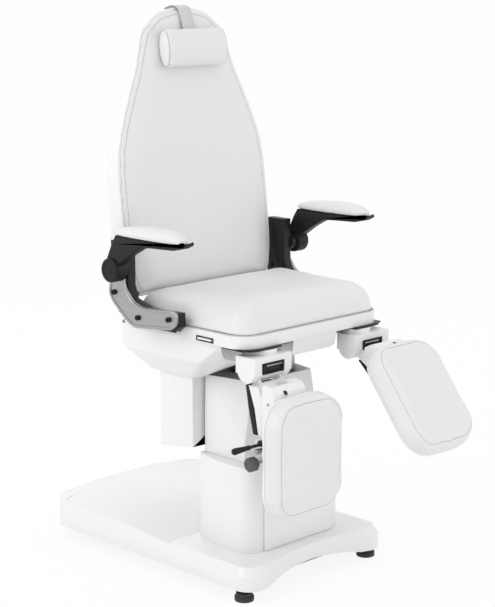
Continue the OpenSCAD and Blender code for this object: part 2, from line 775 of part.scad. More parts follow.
module bracket_covers() {
    x0 = bracket_in + bracket_t;
    color(silver) at_column() for (s = [-1, 1]) sided(s) difference() {
        along_x(x0, x0 + side_plate_t) translate([0, seat_h])
            polygon(places(plate_shares, bracket_l, bracket_up));
        for (b = bolt_places) pin_x(x0 - cut, x0 + side_plate_t + cut, b.x, seat_h + b.y, bolt_r);
        pin_x(x0 - cut, x0 + side_plate_t + cut, arm_pivot_y, arm_pivot_h, arm_pin_r * 2 + slide_gap);
    }
}

module bracket_bolts() {
    x1 = bracket_in + bracket_t + side_plate_t;
    color(black) at_column() for (s = [-1, 1]) sided(s) for (b = bolt_places) {
        pin_x(bracket_in, x1, b.x, seat_h + b.y, bolt_r);
        pin_x(x1, x1 + bolt_head_h, b.x, seat_h + b.y, bolt_head_r);
    }
}

// Backrest actuator: a motor block on the frame's rear cross member and a tube for its rod
back_tube_r = 20;
back_rod_r = 8;
back_rod_drop = 3;
back_rod_z = rim_z - back_rod_drop;
back_block_hw = 28;
back_block_l = 18;
back_block_low = 25;
back_block_high = 23;
back_tube_end = 226;
back_bore_start = 140;
yoke_lever_up = 2;
yoke_lever_z = rim_z + yoke_lever_up;

module back_actuator_body() {
    y1 = actuator_bar[1];
    color(black) at_column() difference() {
        union() {
            box(-back_block_hw, back_block_hw, y1, y1 + back_block_l, back_rod_z - back_block_low,
                back_rod_z + back_block_high);
            pin_y(0, y1 + cut, back_tube_end, back_rod_z, back_tube_r);
        }
        pin_y(0, back_bore_start, back_tube_end + cut, back_rod_z, back_rod_r + pin_gap);
    }
}

// Tip of the backrest's lever, as (y, z)
lever_reach = 35;
lever_down = 52;
lever_tip = [back_pivot_y + lever_reach, back_pivot_z - lever_down];

// Actuator rod with the slotted yoke that drives the backrest's lever
yoke = [300, 334];
yoke_web = 8;
yoke_hw = 16;
yoke_cheek = 5.3;
lever_t = 10;
lever_pin_r = 5;
slot_hw = 6.4;

rod_lap = 12;
yoke_low = 20;
yoke_high = 14;
yoke_web_high = 4;
slot_low = 17;
slot_high = 8;

module back_actuator_rod() {
    color(steel) at_column() difference() {
        union() {
            pin_y(0, back_tube_end - rod_lap, yoke[0] + yoke_web / 2, back_rod_z, back_rod_r);
            box(-yoke_hw, yoke_hw, yoke[0], yoke[1], rim_z - yoke_low, rim_z + yoke_high);
        }
        box(-yoke_cheek, yoke_cheek, yoke[0] + yoke_web, yoke[1] + cut, rim_z - yoke_low - cut,
            rim_z + yoke_high + cut);
        box(-yoke_cheek, yoke_cheek, yoke[0] - cut, yoke[1] + cut, rim_z + yoke_web_high,
            rim_z + yoke_high + cut);
        box(-yoke_hw - cut, yoke_hw + cut, lever_tip.x - slot_hw, lever_tip.x + slot_hw,
            yoke_lever_z - slot_low, yoke_lever_z + slot_high);
    }
}

// Rocker switch in the trim on the patient's right, with the bezel round it
switch_y = -36;
switch_l = 66;
switch_h = 14;
switch_up = 11;
switch_z = rim_z + switch_up;
switch_rim = 3;
switch_out = 2;
rocker_in = 2;
rocker_pin_r = 1.2;
rocker_back = 1.5;
rocker_out = 4;
rocker_end_gap = 0.7;

module switch_bezel() {
    x0 = lip_w / 2;
    color(black) at_column() sided(-1) difference() {
        box(x0, x0 + switch_out, switch_y - switch_l / 2, switch_y + switch_l / 2,
            switch_z - switch_h / 2, switch_z + switch_h / 2);
        box(x0 - cut, x0 + switch_out + cut, switch_y - switch_l / 2 + switch_rim,
            switch_y + switch_l / 2 - switch_rim, switch_z - switch_h / 2 + switch_rim,
            switch_z + switch_h / 2 - switch_rim);
    }
}

// Rocker: tips about a small upright pin whose ends sit in the trim above and below it
module rocker_switch() {
    x0 = lip_w / 2 - rocker_in;
    l = switch_l / 2 - switch_rim - rocker_end_gap;
    h = switch_h / 2 - switch_rim - slide_gap;
    color(grey) at_column() sided(-1) {
        box(x0 - rocker_back, lip_w / 2 + rocker_out, switch_y - l, switch_y + l, switch_z - h, switch_z + h);
        translate([x0, switch_y, switch_z - switch_h / 2])
            cylinder(r = rocker_pin_r, h = switch_h, $fn = round_fn);
    }
}

// Backrest: drawn in a frame whose origin is the pivot and whose Z runs up the back's slope
module back_place() {
    translate([0, column_y + back_pivot_y, back_pivot_z]) rotate([-back_lean, 0, 0]) children();
}

seam_d = -21;
back_start = 26;
// Outline as (share of the length, share of half the greatest width)
back_profile = [[0, 0.845], [0.009, 0.907], [0.031, 0.938], [0.055, 0.959], [0.129, 0.99], [0.262, 1],
    [0.414, 1], [0.455, 0.99], [0.519, 0.969], [0.59, 0.907], [0.634, 0.859], [0.698, 0.783], [0.75, 0.717],
    [0.79, 0.669], [0.865, 0.603], [0.92, 0.545], [0.952, 0.441], [0.983, 0.314], [1, 0.103]];
back_side = [for (p = back_profile) [p.y * back_w / 2, back_start + p.x * back_l]];
back_points = concat(back_side, [for (i = [len(back_side) - 1:-1:0]) [-back_side[i].x, back_side[i].y]]);

// Unit normal that points out of a counter-clockwise outline, at vertex i
function out_normal(points, i) = let(n = len(points), d = points[(i + 1) % n] - points[(i + n - 1) % n])
    [d.y, -d.x] / norm(d);

// Depth behind the seam: a share of the shell's depth, less at the top, and cut away at the bottom
// so that the reclining back clears the seat
back_foot_share = 1.25;
back_top_share = 0.55;
back_foot_slope = 0.24;
back_foot_d = 38;
function back_depth(d, z, wall) = d < 0 ? d : let(a = (z - back_start) / back_l)
    min(d * (back_foot_share + (back_top_share - back_foot_share) * a),
        back_foot_slope * z + back_foot_d) - wall;

// One ring of the backrest: the outline drawn in by t, then narrowed to a share of its size
back_mid = back_start + back_l / 2;
function back_ring(d, t, share, wall) = [for (i = [0:len(back_points) - 1])
    let(p = back_points[i] - t * out_normal(back_points, i), z = back_mid + (p.y - back_mid) * (1 + share) / 2)
    [p.x * share, seam_d + back_depth(d, z, wall), z]];
function reversed(list) = [for (i = [len(list) - 1:-1:0]) list[i]];

// Rings of the shell: share of its depth, share of its draw-in and share of its width
back_wall = 4;
shell_draw = 22;
shell_ring_shares = [[0, 0, 1], [0.1, 0, 1], [0.72, 0.045, 1], [0.88, 0.318, 1], [0.96, 1, 1], [1, 1, 0.5],
    [1, 1, 0.2]];
upright_w = 42;
back_slot_h = 50;
upright_out = 258;
back_bar_zs = [104, 330];
back_bar_h = 30;
back_bar_t = 16;

module backrest_shell() {
    color(white) back_place() difference() {
        loft([for (k = shell_ring_shares) reversed(back_ring(k[0] * back_shell_d, k[1] * shell_draw, k[2], 0))],
            [0, seam_d + back_depth(back_shell_d, back_mid, 0), back_mid]);
        loft([for (k = shell_ring_shares) reversed(back_ring(k[0] > 0 ? k[0] * back_shell_d : -cut,
                k[1] * shell_draw + back_wall, k[2], k[0] > 0.5 ? back_wall : 0))],
            [0, seam_d + back_depth(back_shell_d, back_mid, back_wall), back_mid]);
        for (s = [-1, 1]) sided(s)
            box(upright_out - ear_t - slide_gap, upright_out + slide_gap, seam_d - cut, seam_d + upright_w,
                0, back_start + back_slot_h);
        box(-lever_t / 2 - slide_gap, lever_t / 2 + slide_gap, seam_d - cut, seam_d + upright_w,
            0, back_start + back_slot_h);
    }
}

// Frame of the backrest: two uprights with ears, two cross bars and the lever for the actuator
upright_back = 34;
frame_step = 2;
lever_eye_r = 9;
lever_root_r = 12;
lever_root_in = 14;
tip_pin_hw = 14;

module backrest_frame() {
    tip = [lever_tip.x - back_pivot_y, lever_tip.y - back_pivot_z];
    back_bend = back_start + ear_r;
    back_top = back_bar_zs[1] + back_bar_h - frame_step;
    rear = seam_d + upright_back;
    front = seam_d + frame_step;
    ear = ear_r - eye_proud;
    lever_foot = [tip.x * cos(back_lean) - tip.y * sin(back_lean),
        tip.x * sin(back_lean) + tip.y * cos(back_lean)];
    color(steel) back_place() difference() {
        union() {
            for (s = [-1, 1]) sided(s) along_x(upright_out - ear_t, upright_out) {
                circle(ear_r, $fn = round_fn);
                polygon([[-ear, 0], [ear, 0], [rear, back_bend], [rear, back_top], [front, back_top],
                    [front, back_bend]]);
            }
            for (z = back_bar_zs)
                box(frame_step - upright_out, upright_out - frame_step, seam_d, seam_d + back_bar_t,
                    z, z + back_bar_h);
            along_x(-lever_t / 2, lever_t / 2) {
                round_bar(lever_foot, [0, 0], lever_eye_r);
                round_bar([0, 0], [seam_d + lever_root_in, back_bar_zs[0] + back_bar_h / 2], lever_root_r);
            }
            pin_x(-tip_pin_hw, tip_pin_hw, lever_foot.x, lever_foot.y, lever_pin_r);
        }
        for (s = [-1, 1]) sided(s)
            pin_x(upright_out - ear_t - cut, upright_out + cut, 0, 0, back_pin_r + pin_gap);
    }
}

// Cushion of the backrest: lies on the shell's rim, with a seam round its edge and a low crown
// Rings as share of the edge's depth, share of the draw-in and share of the width
cushion_ring_shares = [[0, 0.088, 1], [-0.24, 0, 1], [-0.48, 0.03, 1], [-0.72, 0.265, 1], [-0.88, 1, 1],
    [-0.96, 1, 0.5], [-1, 1, 0.2]];
cushion_edge_d = 12.5;
cushion_draw = 34;
back_crown = 13;

module backrest_cushion() {
    color(vinyl) back_place()
        loft([for (k = cushion_ring_shares) back_ring(k[0] * cushion_edge_d, k[1] * cushion_draw, k[2], 0)],
            [0, seam_d - back_crown, back_mid]);
}

// Strap of the headrest: runs up the face, over the top edge and down the rear of the shell
strap_w = 50;
strap_t = 1.5;
strap_gap = 0.5;
strap_front = back_crown + strap_gap;
strap_low_share = 0.79;
strap_rear_low_share = 0.9;
strap_rear_share = 0.8;

module headrest_strap() {
    y0 = seam_d - strap_front;
    top = back_start + back_l;
    low = back_start + strap_low_share * back_l;
    rear_y = seam_d + back_shell_d * strap_rear_share;
    color(grey) back_place() along_x(-strap_w / 2, strap_w / 2) difference() {
        translate([y0 - strap_t, low]) square([rear_y - y0 + 2 * strap_t, top + strap_t - low]);
        translate([y0, low - cut]) square([rear_y - y0, top - low + cut]);
        translate([seam_d, back_start]) square([2 * back_shell_d, strap_rear_low_share * back_l]);
    }
}

// Roll headrest: an oval padded roll with rounded ends that slides along the strap
roll_up_share = 0.855;
roll_ring_shares = [[0, 0.72], [0.012, 0.9], [0.04, 0.97], [0.09, 1], [0.91, 1], [0.96, 0.97], [0.988, 0.9],
    [1, 0.72]];
roll_crown = 3;
roll_fn = 36;

module headrest_roll() {
    color(vinyl) back_place()
        translate([0, seam_d - strap_front - strap_t - rest_gap - roll_t / 2,
            back_start + roll_up_share * back_l])
        loft([for (k = places(roll_ring_shares, roll_l, roll_h / 2)) [for (i = [0:roll_fn - 1])
                [k.x - roll_l / 2, k.y * roll_t / roll_h * cos(360 * i / roll_fn),
                    k.y * sin(360 * i / roll_fn)]]],
            [roll_l / 2 + roll_crown, 0, 0]);
}

// Armrests: an arm on a hub that folds up about the bracket's pin, with a pad on top
arm_t = 33;
arm_hub_r = 34;
arm_hub_out = 386;
arm_reach = 306;
arm_lift = 100;
// Outline of the arm as (share of its reach, share of the pad's height over the pivot)
arm_shares = [[-0.012, 0.77], [-0.064, 1], [-0.963, 1], [-0.976, 1.08], [-1, 1.08], [-0.954, 0.92],
    [-0.82, 0.84], [-0.524, 0.79], [-0.415, 0.78], [-0.244, 0.5], [-0.091, 0.16], [0, -0.2], [0.104, 0]];

module armrest(s) {
    sided(s) at_column() difference() {
        union() {
            along_x(arm_hub_in, arm_hub_in + arm_t) translate([arm_pivot_y, arm_pivot_h])
                polygon(places(arm_shares, arm_reach, arm_lift));
            pin_x(arm_hub_in, arm_hub_out, arm_pivot_y, arm_pivot_h, arm_hub_r);
        }
        pin_x(arm_hub_in - cut, arm_hub_in + arm_pin_l + cut, arm_pivot_y, arm_pivot_h, arm_pin_r + pin_gap);
    }
}

arm_pad_h = 40;
arm_pad_front = -54;
pad_draw = 22;
pad_flat = 1;
// Rings as (share of the draw-in, share of the pad's height)
pad_ring_shares = [[0.273, 0], [0.09, 0.075], [0, 0.225], [0.045, 0.45], [0.227, 0.675], [0.59, 0.85],
    [1, 0.95]];

module arm_pad(s) {
    sided(s) at_column() translate([arm_x, arm_pad_front + arm_pad_l / 2, arm_pivot_h + arm_lift])
        loft([for (k = places(pad_ring_shares, pad_draw, arm_pad_h))
                let(hw = arm_pad_w / 2 - k.x)
                [for (p = round_outline(hw, arm_pad_l / 2 - k.x, hw - pad_flat, 6)) [p.x, p.y, k.y]]],
            [0, 0, arm_pad_h]);
}

module armrest_left() { color(black) armrest(1); }
module armrest_right() { color(black) armrest(-1); }
module arm_pad_left() { color(vinyl) arm_pad(1); }
module arm_pad_right() { color(vinyl) arm_pad(-1); }

// Leg rests: drawn for the left, hanging, with the tilt axis at y = 0, z = 0
leg_y = -180;

module leg_place(s) {
    sided(s) at_column() translate([0, leg_y, leg_axis_h])
        rotate([s > 0 ? -raised_tilt : 0, 0, 0]) children();
}

knuckle_x = [131, 271];
hub_x = [158, 244];
knuckle_r = 32;
knuckle_under = 18;
knuckle_top = leg_drop - knuckle_under;
disc_r = 45;
disc_top = leg_drop - swivel_plate_t - slide_gap;
hub_r = 30;
tilt_pin_r = 8;
swivel_dy = swivel_back - leg_y;
window_top = 21;
knuckle_front = -34;
knuckle_back = 38;
cheek_low = -9;
tilt_pin_inset = 8;
pin_end_gap = 2;
swivel_pin_low = hub_r + pin_end_gap;

// Knuckle: a housing that turns under the seat and holds the leg rest's tilt pin
module leg_knuckle(s) {
    sided(s) at_column() translate([0, leg_y, leg_axis_h]) difference() {
        union() {
            pin_x(knuckle_x[0], knuckle_x[1], 0, 0, knuckle_r);
            box(knuckle_x[0], knuckle_x[1], knuckle_front, knuckle_back, cheek_low, knuckle_top);
            translate([swivel_x, swivel_dy, window_top])
                cylinder(r = disc_r, h = disc_top - window_top, $fn = round_fn);
        }
        pin_x(hub_x[0] - slide_gap, hub_x[1] + slide_gap, 0, 0, hub_r + slide_gap);
        box(hub_x[0] - slide_gap, hub_x[1] + slide_gap, knuckle_front - cut, 0, -knuckle_r - cut, window_top);
        box(hub_x[0] - slide_gap, hub_x[1] + slide_gap, -cut, knuckle_back + cut, -knuckle_r - cut, 0);
        pin_x(knuckle_x[0] + tilt_pin_inset, knuckle_x[1] - tilt_pin_inset, 0, 0, tilt_pin_r);
        translate([swivel_x, swivel_dy, swivel_pin_low]) cylinder(r = swivel_r, h = disc_top, $fn = round_fn);
    }
}

// Pins of the knuckle: one upright for the swivel, one along X for the tilt
module swivel_pin(s) {
    sided(s) at_column() translate([0, leg_y, leg_axis_h]) {
        translate([swivel_x, swivel_dy, swivel_pin_low])
            cylinder(r = swivel_r, h = leg_drop + frame_h - pin_end_gap - swivel_pin_low, $fn = round_fn);
        pin_x(knuckle_x[0] + tilt_pin_inset, knuckle_x[1] - tilt_pin_inset, 0, 0, tilt_pin_r);
    }
}

// Strut: a hub on the tilt pin, a web behind the leg shell and a T-shaped rail inside it
strut_x = [165, 258];
shell_back = -46;
rail_neck = [190, 214];
rail_head = [180, 224];
rail_neck_y = -56;
rail_head_y = -72;
rail_z_range = [-250, -62];
web_front = shell_back + slide_gap;
web_low = -172;
web_high = -40;
// Outlines as (share of the shell's distance behind the tilt axis, share of the web's length)
web_shares = [[0.435, 0.116], [-0.174, 0.14], [0.435, 0.581], [0.739, 1]];
web_front_share = 0.384;
web_side = concat(places(web_shares, shell_back, web_low),
    [[web_front, web_low], [web_front, web_front_share * web_low]]);
back_cover_shares = [[-0.174, 0.14], [-0.348, 0.151], [-0.087, 0.581], [0.304, 1], [0.739, 1], [0.435, 0.581]];
fork_x = [165, 237];
fork_r = 41;

module leg_strut(s) {
    leg_place(s) difference() {
        union() {
            pin_x(hub_x[0], hub_x[1], 0, 0, hub_r);
            difference() {
                along_x(hub_x[0] + cut, hub_x[1] - cut) polygon(web_side);
                pin_x(fork_x[0], fork_x[1], 0, 0, fork_r);
            }
            along_x(strut_x[0], strut_x[1]) intersection() {
                polygon(web_side);
                translate([2 * shell_back, web_low]) square([-4 * shell_back, web_high - web_low]);
            }
            box(rail_neck[0], rail_neck[1], rail_neck_y - cut, shell_back + cut,
                rail_z_range[0], rail_z_range[1]);
            box(rail_head[0], rail_head[1], rail_head_y, rail_neck_y, rail_z_range[0], rail_z_range[1]);
        }
        pin_x(hub_x[0] - cut, hub_x[1] + cut, 0, 0, tilt_pin_r + pin_gap);
    }
}

// Black cover on the rear of the strut
module strut_cover(s) {
    leg_place(s) along_x(strut_x[0], strut_x[1]) intersection() {
        polygon(places(back_cover_shares, shell_back, web_low));
        translate([2 * shell_back, web_low]) square([-4 * shell_back, web_high - web_low]);
    }
}

// Leg shell: the moulding behind the pad, which slides along the rail
pad_plane = -93;
leg_shell_x = [137, 258];
shell_low = -334;
// Outline as (share of the way from the pad's plane to the shell's back, share of the shell's reach)
leg_shell_shares = [[0, 0.15], [0.32, 0.102], [0.83, 0.087], [1, 0.114], [1, 0.629], [0.66, 0.964], [0, 1]];
lever_z = -186;
lever_y = -62;
lever_x = 272;
lever_pin_hr = 4;
lever_pin_hl = 12;
lug_x = 280;
lug_in = 10.3;
lug_front = 16;
lug_hh = 9;
clamp_z = -203;
knob_z = -234;
stem_r = 5;
clamp_r = 4;
stem_in = 240;

module leg_shell(s) {
    leg_place(s) difference() {
        union() {
            along_x(leg_shell_x[0], leg_shell_x[1]) translate([pad_plane, 0])
                polygon(places(leg_shell_shares, shell_back - pad_plane, shell_low));
            box(leg_shell_x[1] - cut, lug_x, lever_y - lug_front, lever_y - lug_in,
                lever_z - lug_hh, lever_z + lug_hh);
            box(leg_shell_x[1] - cut, lug_x, lever_y + lug_in, shell_back, lever_z - lug_hh, lever_z + lug_hh);
            pin_y(lever_x, lever_y - lever_pin_hl, lever_y + lever_pin_hl, lever_z, lever_pin_hr);
        }
        box(rail_neck[0] - slide_gap, rail_neck[1] + slide_gap, rail_neck_y - cut, shell_back + cut,
            shell_low - cut, 0);
        box(rail_head[0] - slide_gap, rail_head[1] + slide_gap, rail_head_y - slide_gap,
            rail_neck_y + slide_gap, shell_low - cut, 0);
        pin_x(stem_in, leg_shell_x[1] + cut, lever_y, clamp_z, clamp_r);
        pin_x(stem_in, leg_shell_x[1] + cut, lever_y, knob_z, stem_r + pin_gap);
    }
}

// Board under the leg pad
pad_top = -56;
board_d = 8;
board_inset = 7;
leg_pad_r = 82;

module pad_board(s) {
    hw = leg_pad_w / 2 - board_inset;
    hl = leg_pad_l / 2 - board_inset;
    leg_place(s) translate([leg_x, pad_plane, pad_top - leg_pad_l / 2]) rotate([90, 0, 0])
        linear_extrude(board_d) round_plate(2 * hw, -hl, hl, leg_pad_r - board_inset);
}

// Leg pad: flat sides, a seam round the edge and a face hollowed across to cradle the calf
leg_draw = 34;
cradle = 15;
flat_side_share = 0.72;
// Rings as (share of the draw-in, share of the pad's depth)
leg_ring_shares = [[0.147, 0], [0.029, 0.082], [0, 0.197], [0, 0.72], [0.059, 0.803], [0, 0.852],
    [0.088, 0.902], [0.353, 0.984], [1, 1]];

module leg_pad(s) {
    hw = leg_pad_w / 2;
    d = leg_pad_t - board_d;
    leg_place(s) translate([leg_x, pad_plane - board_d, pad_top - leg_pad_l / 2])
        loft([for (k = leg_ring_shares)
                let(t = k.x * leg_draw, face = max(0, k.y - flat_side_share) / (1 - flat_side_share))
                [for (p = round_outline(hw - t, leg_pad_l / 2 - t, leg_pad_r - t, 8))
                    [p.x, cradle * face * (1 - pow(p.x / hw, 2)) - k.y * d, p.y]]],
            [0, cradle - d, 0]);
}

// Clamp bolt, release lever with its grip, and the lobed clamp knob on the outer side
clamp_collar_l = 30;
clamp_collar_r = 6;
clamp_head_l = 8;
clamp_head_r = 7;

module clamp_bolt(s) {
    x1 = leg_shell_x[1] + clamp_collar_l;
    leg_place(s) {
        pin_x(stem_in, x1, lever_y, clamp_z, clamp_r);
        pin_x(leg_shell_x[1], x1, lever_y, clamp_z, clamp_collar_r);
        pin_x(x1, x1 + clamp_head_l, lever_y, clamp_z, clamp_head_r);
    }
}

lever_end = 340;
lever_hub_hl = 10;
lever_hub_r = 8;
grip_x = [319, 380];
grip_r = 9;

module release_lever(s) {
    leg_place(s) difference() {
        union() {
            pin_y(lever_x, lever_y - lever_hub_hl, lever_y + lever_hub_hl, lever_z, lever_hub_r);
            pin_x(lever_x, lever_end, lever_y, lever_z, stem_r);
        }
        pin_y(lever_x, lever_y - lever_hub_hl - cut, lever_y + lever_hub_hl + cut, lever_z,
            lever_pin_hr + pin_gap);
    }
}

module lever_grip(s) {
    leg_place(s) difference() {
        pin_x(grip_x[0], grip_x[1], lever_y, lever_z, grip_r);
        pin_x(grip_x[0] - cut, lever_end, lever_y, lever_z, stem_r);
    }
}

knob_x = [300, 324];
knob_lobes = 8;
knob_lobe_r = 5;
knob_lobe_step = 3;
knob_waist = 4;
knob_stem_gap = 2;

module clamp_knob(s) {
    ring = knob_d / 2 - knob_lobe_r;
    leg_place(s) {
        pin_x(stem_in + knob_stem_gap, knob_x[0] + cut, lever_y, knob_z, stem_r);
        pin_x(knob_x[0], knob_x[1], lever_y, knob_z, knob_d / 2 - knob_waist);
        for (i = [0:knob_lobes - 1])
            pin_x(knob_x[0], knob_x[1] - knob_lobe_step, lever_y + ring * cos(360 * i / knob_lobes),
                knob_z + ring * sin(360 * i / knob_lobes), knob_lobe_r);
    }
}

module swivel_pin_left() { color(steel) swivel_pin(1); }
module swivel_pin_right() { color(steel) swivel_pin(-1); }
module leg_knuckle_left() { color(trim_white) leg_knuckle(1); }
module leg_knuckle_right() { color(trim_white) leg_knuckle(-1); }
module leg_strut_left() { color(trim_white) leg_strut(1); }
module leg_strut_right() { color(trim_white) leg_strut(-1); }
module strut_cover_left() { color(black) strut_cover(1); }
module strut_cover_right() { color(black) strut_cover(-1); }
module leg_shell_left() { color(trim_white) leg_shell(1); }
module leg_shell_right() { color(trim_white) leg_shell(-1); }
module pad_board_left() { color(black) pad_board(1); }
module pad_board_right() { color(black) pad_board(-1); }
module leg_pad_left() { color(vinyl) leg_pad(1); }
module leg_pad_right() { color(vinyl) leg_pad(-1); }
module clamp_bolt_left() { color(steel) clamp_bolt(1); }
module clamp_bolt_right() { color(steel) clamp_bolt(-1); }
module release_lever_left() { color(steel) release_lever(1); }
module release_lever_right() { color(steel) release_lever(-1); }
module lever_grip_left() { color(black) lever_grip(1); }
module lever_grip_right() { color(black) lever_grip(-1); }
module clamp_knob_left() { color(grey) clamp_knob(1); }
module clamp_knob_right() { color(grey) clamp_knob(-1); }

base_frame();
base_cover();
mains_inlet();
levelling_foot_front_left();
levelling_foot_front_right();
levelling_foot_rear_left();
levelling_foot_rear_right();
column_outer_tube();
lower_column_cover();
column_front_panel();
lift_actuator_body();
column_middle_tube();
column_hood();
column_inner_tube();
lift_actuator_rod();
seat_frame();
seat_board();
seat_lip();
underside_shell();
rear_housing();
seat_cushion();
swivel_plates();
arm_brackets();
bracket_covers();
bracket_bolts();
back_actuator_body();
switch_bezel();
rocker_switch();
back_actuator_rod();
backrest_frame();
backrest_shell();
backrest_cushion();
headrest_strap();
headrest_roll();
armrest_left();
arm_pad_left();
armrest_right();
arm_pad_right();
swivel_pin_left();
leg_knuckle_left();
leg_strut_left();
strut_cover_left();
leg_shell_left();
pad_board_left();
leg_pad_left();
clamp_bolt_left();
release_lever_left();
lever_grip_left();
clamp_knob_left();
swivel_pin_right();
leg_knuckle_right();
leg_strut_right();
strut_cover_right();
leg_shell_right();
pad_board_right();
leg_pad_right();
clamp_bolt_right();
release_lever_right();
lever_grip_right();
clamp_knob_right();
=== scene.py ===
import json
import math

import bmesh
import bpy
import numpy as np
from mathutils import Matrix, Vector
from mathutils.bvhtree import BVHTree
from mathutils.kdtree import KDTree


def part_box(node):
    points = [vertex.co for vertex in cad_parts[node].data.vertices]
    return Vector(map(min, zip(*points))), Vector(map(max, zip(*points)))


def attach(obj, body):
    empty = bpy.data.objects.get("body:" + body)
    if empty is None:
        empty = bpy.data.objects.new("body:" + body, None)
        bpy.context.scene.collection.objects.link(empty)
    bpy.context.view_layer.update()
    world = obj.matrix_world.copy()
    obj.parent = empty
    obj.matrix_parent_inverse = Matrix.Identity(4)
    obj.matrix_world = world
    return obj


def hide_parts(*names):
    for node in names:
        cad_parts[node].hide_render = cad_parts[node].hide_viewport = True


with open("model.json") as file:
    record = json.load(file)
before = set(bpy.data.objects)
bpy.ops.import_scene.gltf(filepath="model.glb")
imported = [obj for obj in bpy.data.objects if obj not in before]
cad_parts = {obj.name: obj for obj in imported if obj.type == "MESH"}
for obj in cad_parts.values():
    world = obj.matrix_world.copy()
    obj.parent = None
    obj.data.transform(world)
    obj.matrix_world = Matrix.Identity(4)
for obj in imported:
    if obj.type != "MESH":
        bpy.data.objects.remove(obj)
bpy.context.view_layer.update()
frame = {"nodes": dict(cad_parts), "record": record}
scene = bpy.context.scene
scene.view_settings.view_transform = "Standard"
mm = 0.001

tubeLow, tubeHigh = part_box("column_outer_tube")
columnY = (tubeLow.y + tubeHigh.y) / 2 - 27 * mm   # the column's axis, the reference of every y below
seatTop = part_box("seat_lip")[1].z                  # underside of the seat cushion

slotOf = {part["node"]: part["material_slot"] for part in frame["record"]["subparts"]}
bodyOf = {node: body for body, nodes in frame["record"]["behaviour"]["bodies"].items() for node in nodes}
print("scene: frame loaded, column axis at", round(columnY, 5))

# Camera, light and floor
camera = {"place": (-3.2689, -3.1974, 1.6935), "yaw": 44.876, "pitch": 11.394, "lens": 97.93, "sensor": 36,
          "clip": (0.1, 400)}
studio = {"sky": 0.91, "floorGlow": 0.90, "floorShade": 0.95, "floorHalf": 150, "aim": 0.75,
          "lamps": {"keyLamp": (50, 3.0, (-4.2, 0.9, 3.3)), "fillLamp": (22, 4.0, (2.4, -4.2, 2.2)),
                    "rimLamp": (8, 3.0, (2.2, 3.6, 3.2))}}


def fromColumn(place):
    x, y, z = place
    return Vector((x, columnY + y, z))


def aimed(obj, place, along):
    obj.location = place
    obj.rotation_mode = "QUATERNION"
    obj.rotation_quaternion = along.to_track_quat("-Z", "Y")
    scene.collection.objects.link(obj)
    return obj


yaw, pitch = math.radians(camera["yaw"]), math.radians(camera["pitch"])
lookAlong = Vector((math.sin(yaw) * math.cos(pitch), math.cos(yaw) * math.cos(pitch), -math.sin(pitch)))
cameraData = bpy.data.cameras.new("photoCamera")
cameraData.lens, cameraData.sensor_width = camera["lens"], camera["sensor"]
cameraData.clip_start, cameraData.clip_end = camera["clip"]
scene.camera = aimed(bpy.data.objects.new("photoCamera", cameraData), fromColumn(camera["place"]), lookAlong)

for lampName, (power, size, spot) in studio["lamps"].items():
    lampData = bpy.data.lights.new(lampName, "AREA")
    lampData.shape, lampData.size, lampData.energy = "DISK", size, power
    spot = fromColumn(spot)
    aimed(bpy.data.objects.new(lampName, lampData), spot, fromColumn((0, 0, studio["aim"])) - spot)


class Socket:
    # one output of a node; sums and products of sockets add their Math nodes
    def __init__(self, recipe, out):
        self.recipe, self.out = recipe, out

    def math(self, operation, other, swapped=False):
        pair = (other, self) if swapped else (self, other)
        return self.recipe.add("ShaderNodeMath", {"operation": operation}, {0: pair[0], 1: pair[1]})

    def __add__(self, other):
        return self.math("ADD", other)

    def __radd__(self, other):
        return self.math("ADD", other, True)

    def __mul__(self, other):
        return self.math("MULTIPLY", other)

    def __rmul__(self, other):
        return self.math("MULTIPLY", other, True)


class Recipe:
    # a node tree, for a material, the world or Geometry Nodes
    def __init__(self, tree):
        self.tree = tree

    def add(self, kind, settings=None, sockets=None, output=0):
        node = self.tree.nodes.new(kind)
        for key, value in (settings or {}).items():
            if key == "stops":
                while len(node.color_ramp.elements) < len(value):
                    node.color_ramp.elements.new(0.5)
                for element, (place, shade) in zip(node.color_ramp.elements, value):
                    element.position, element.color = place, (shade, shade, shade, 1)
            else:
                setattr(node, key, value)
        for key, value in (sockets or {}).items():
            if isinstance(value, Socket):
                self.tree.links.new(value.out, node.inputs[key])
            else:
                node.inputs[key].default_value = value
        return Socket(self, node.outputs[output] if len(node.outputs) else None)


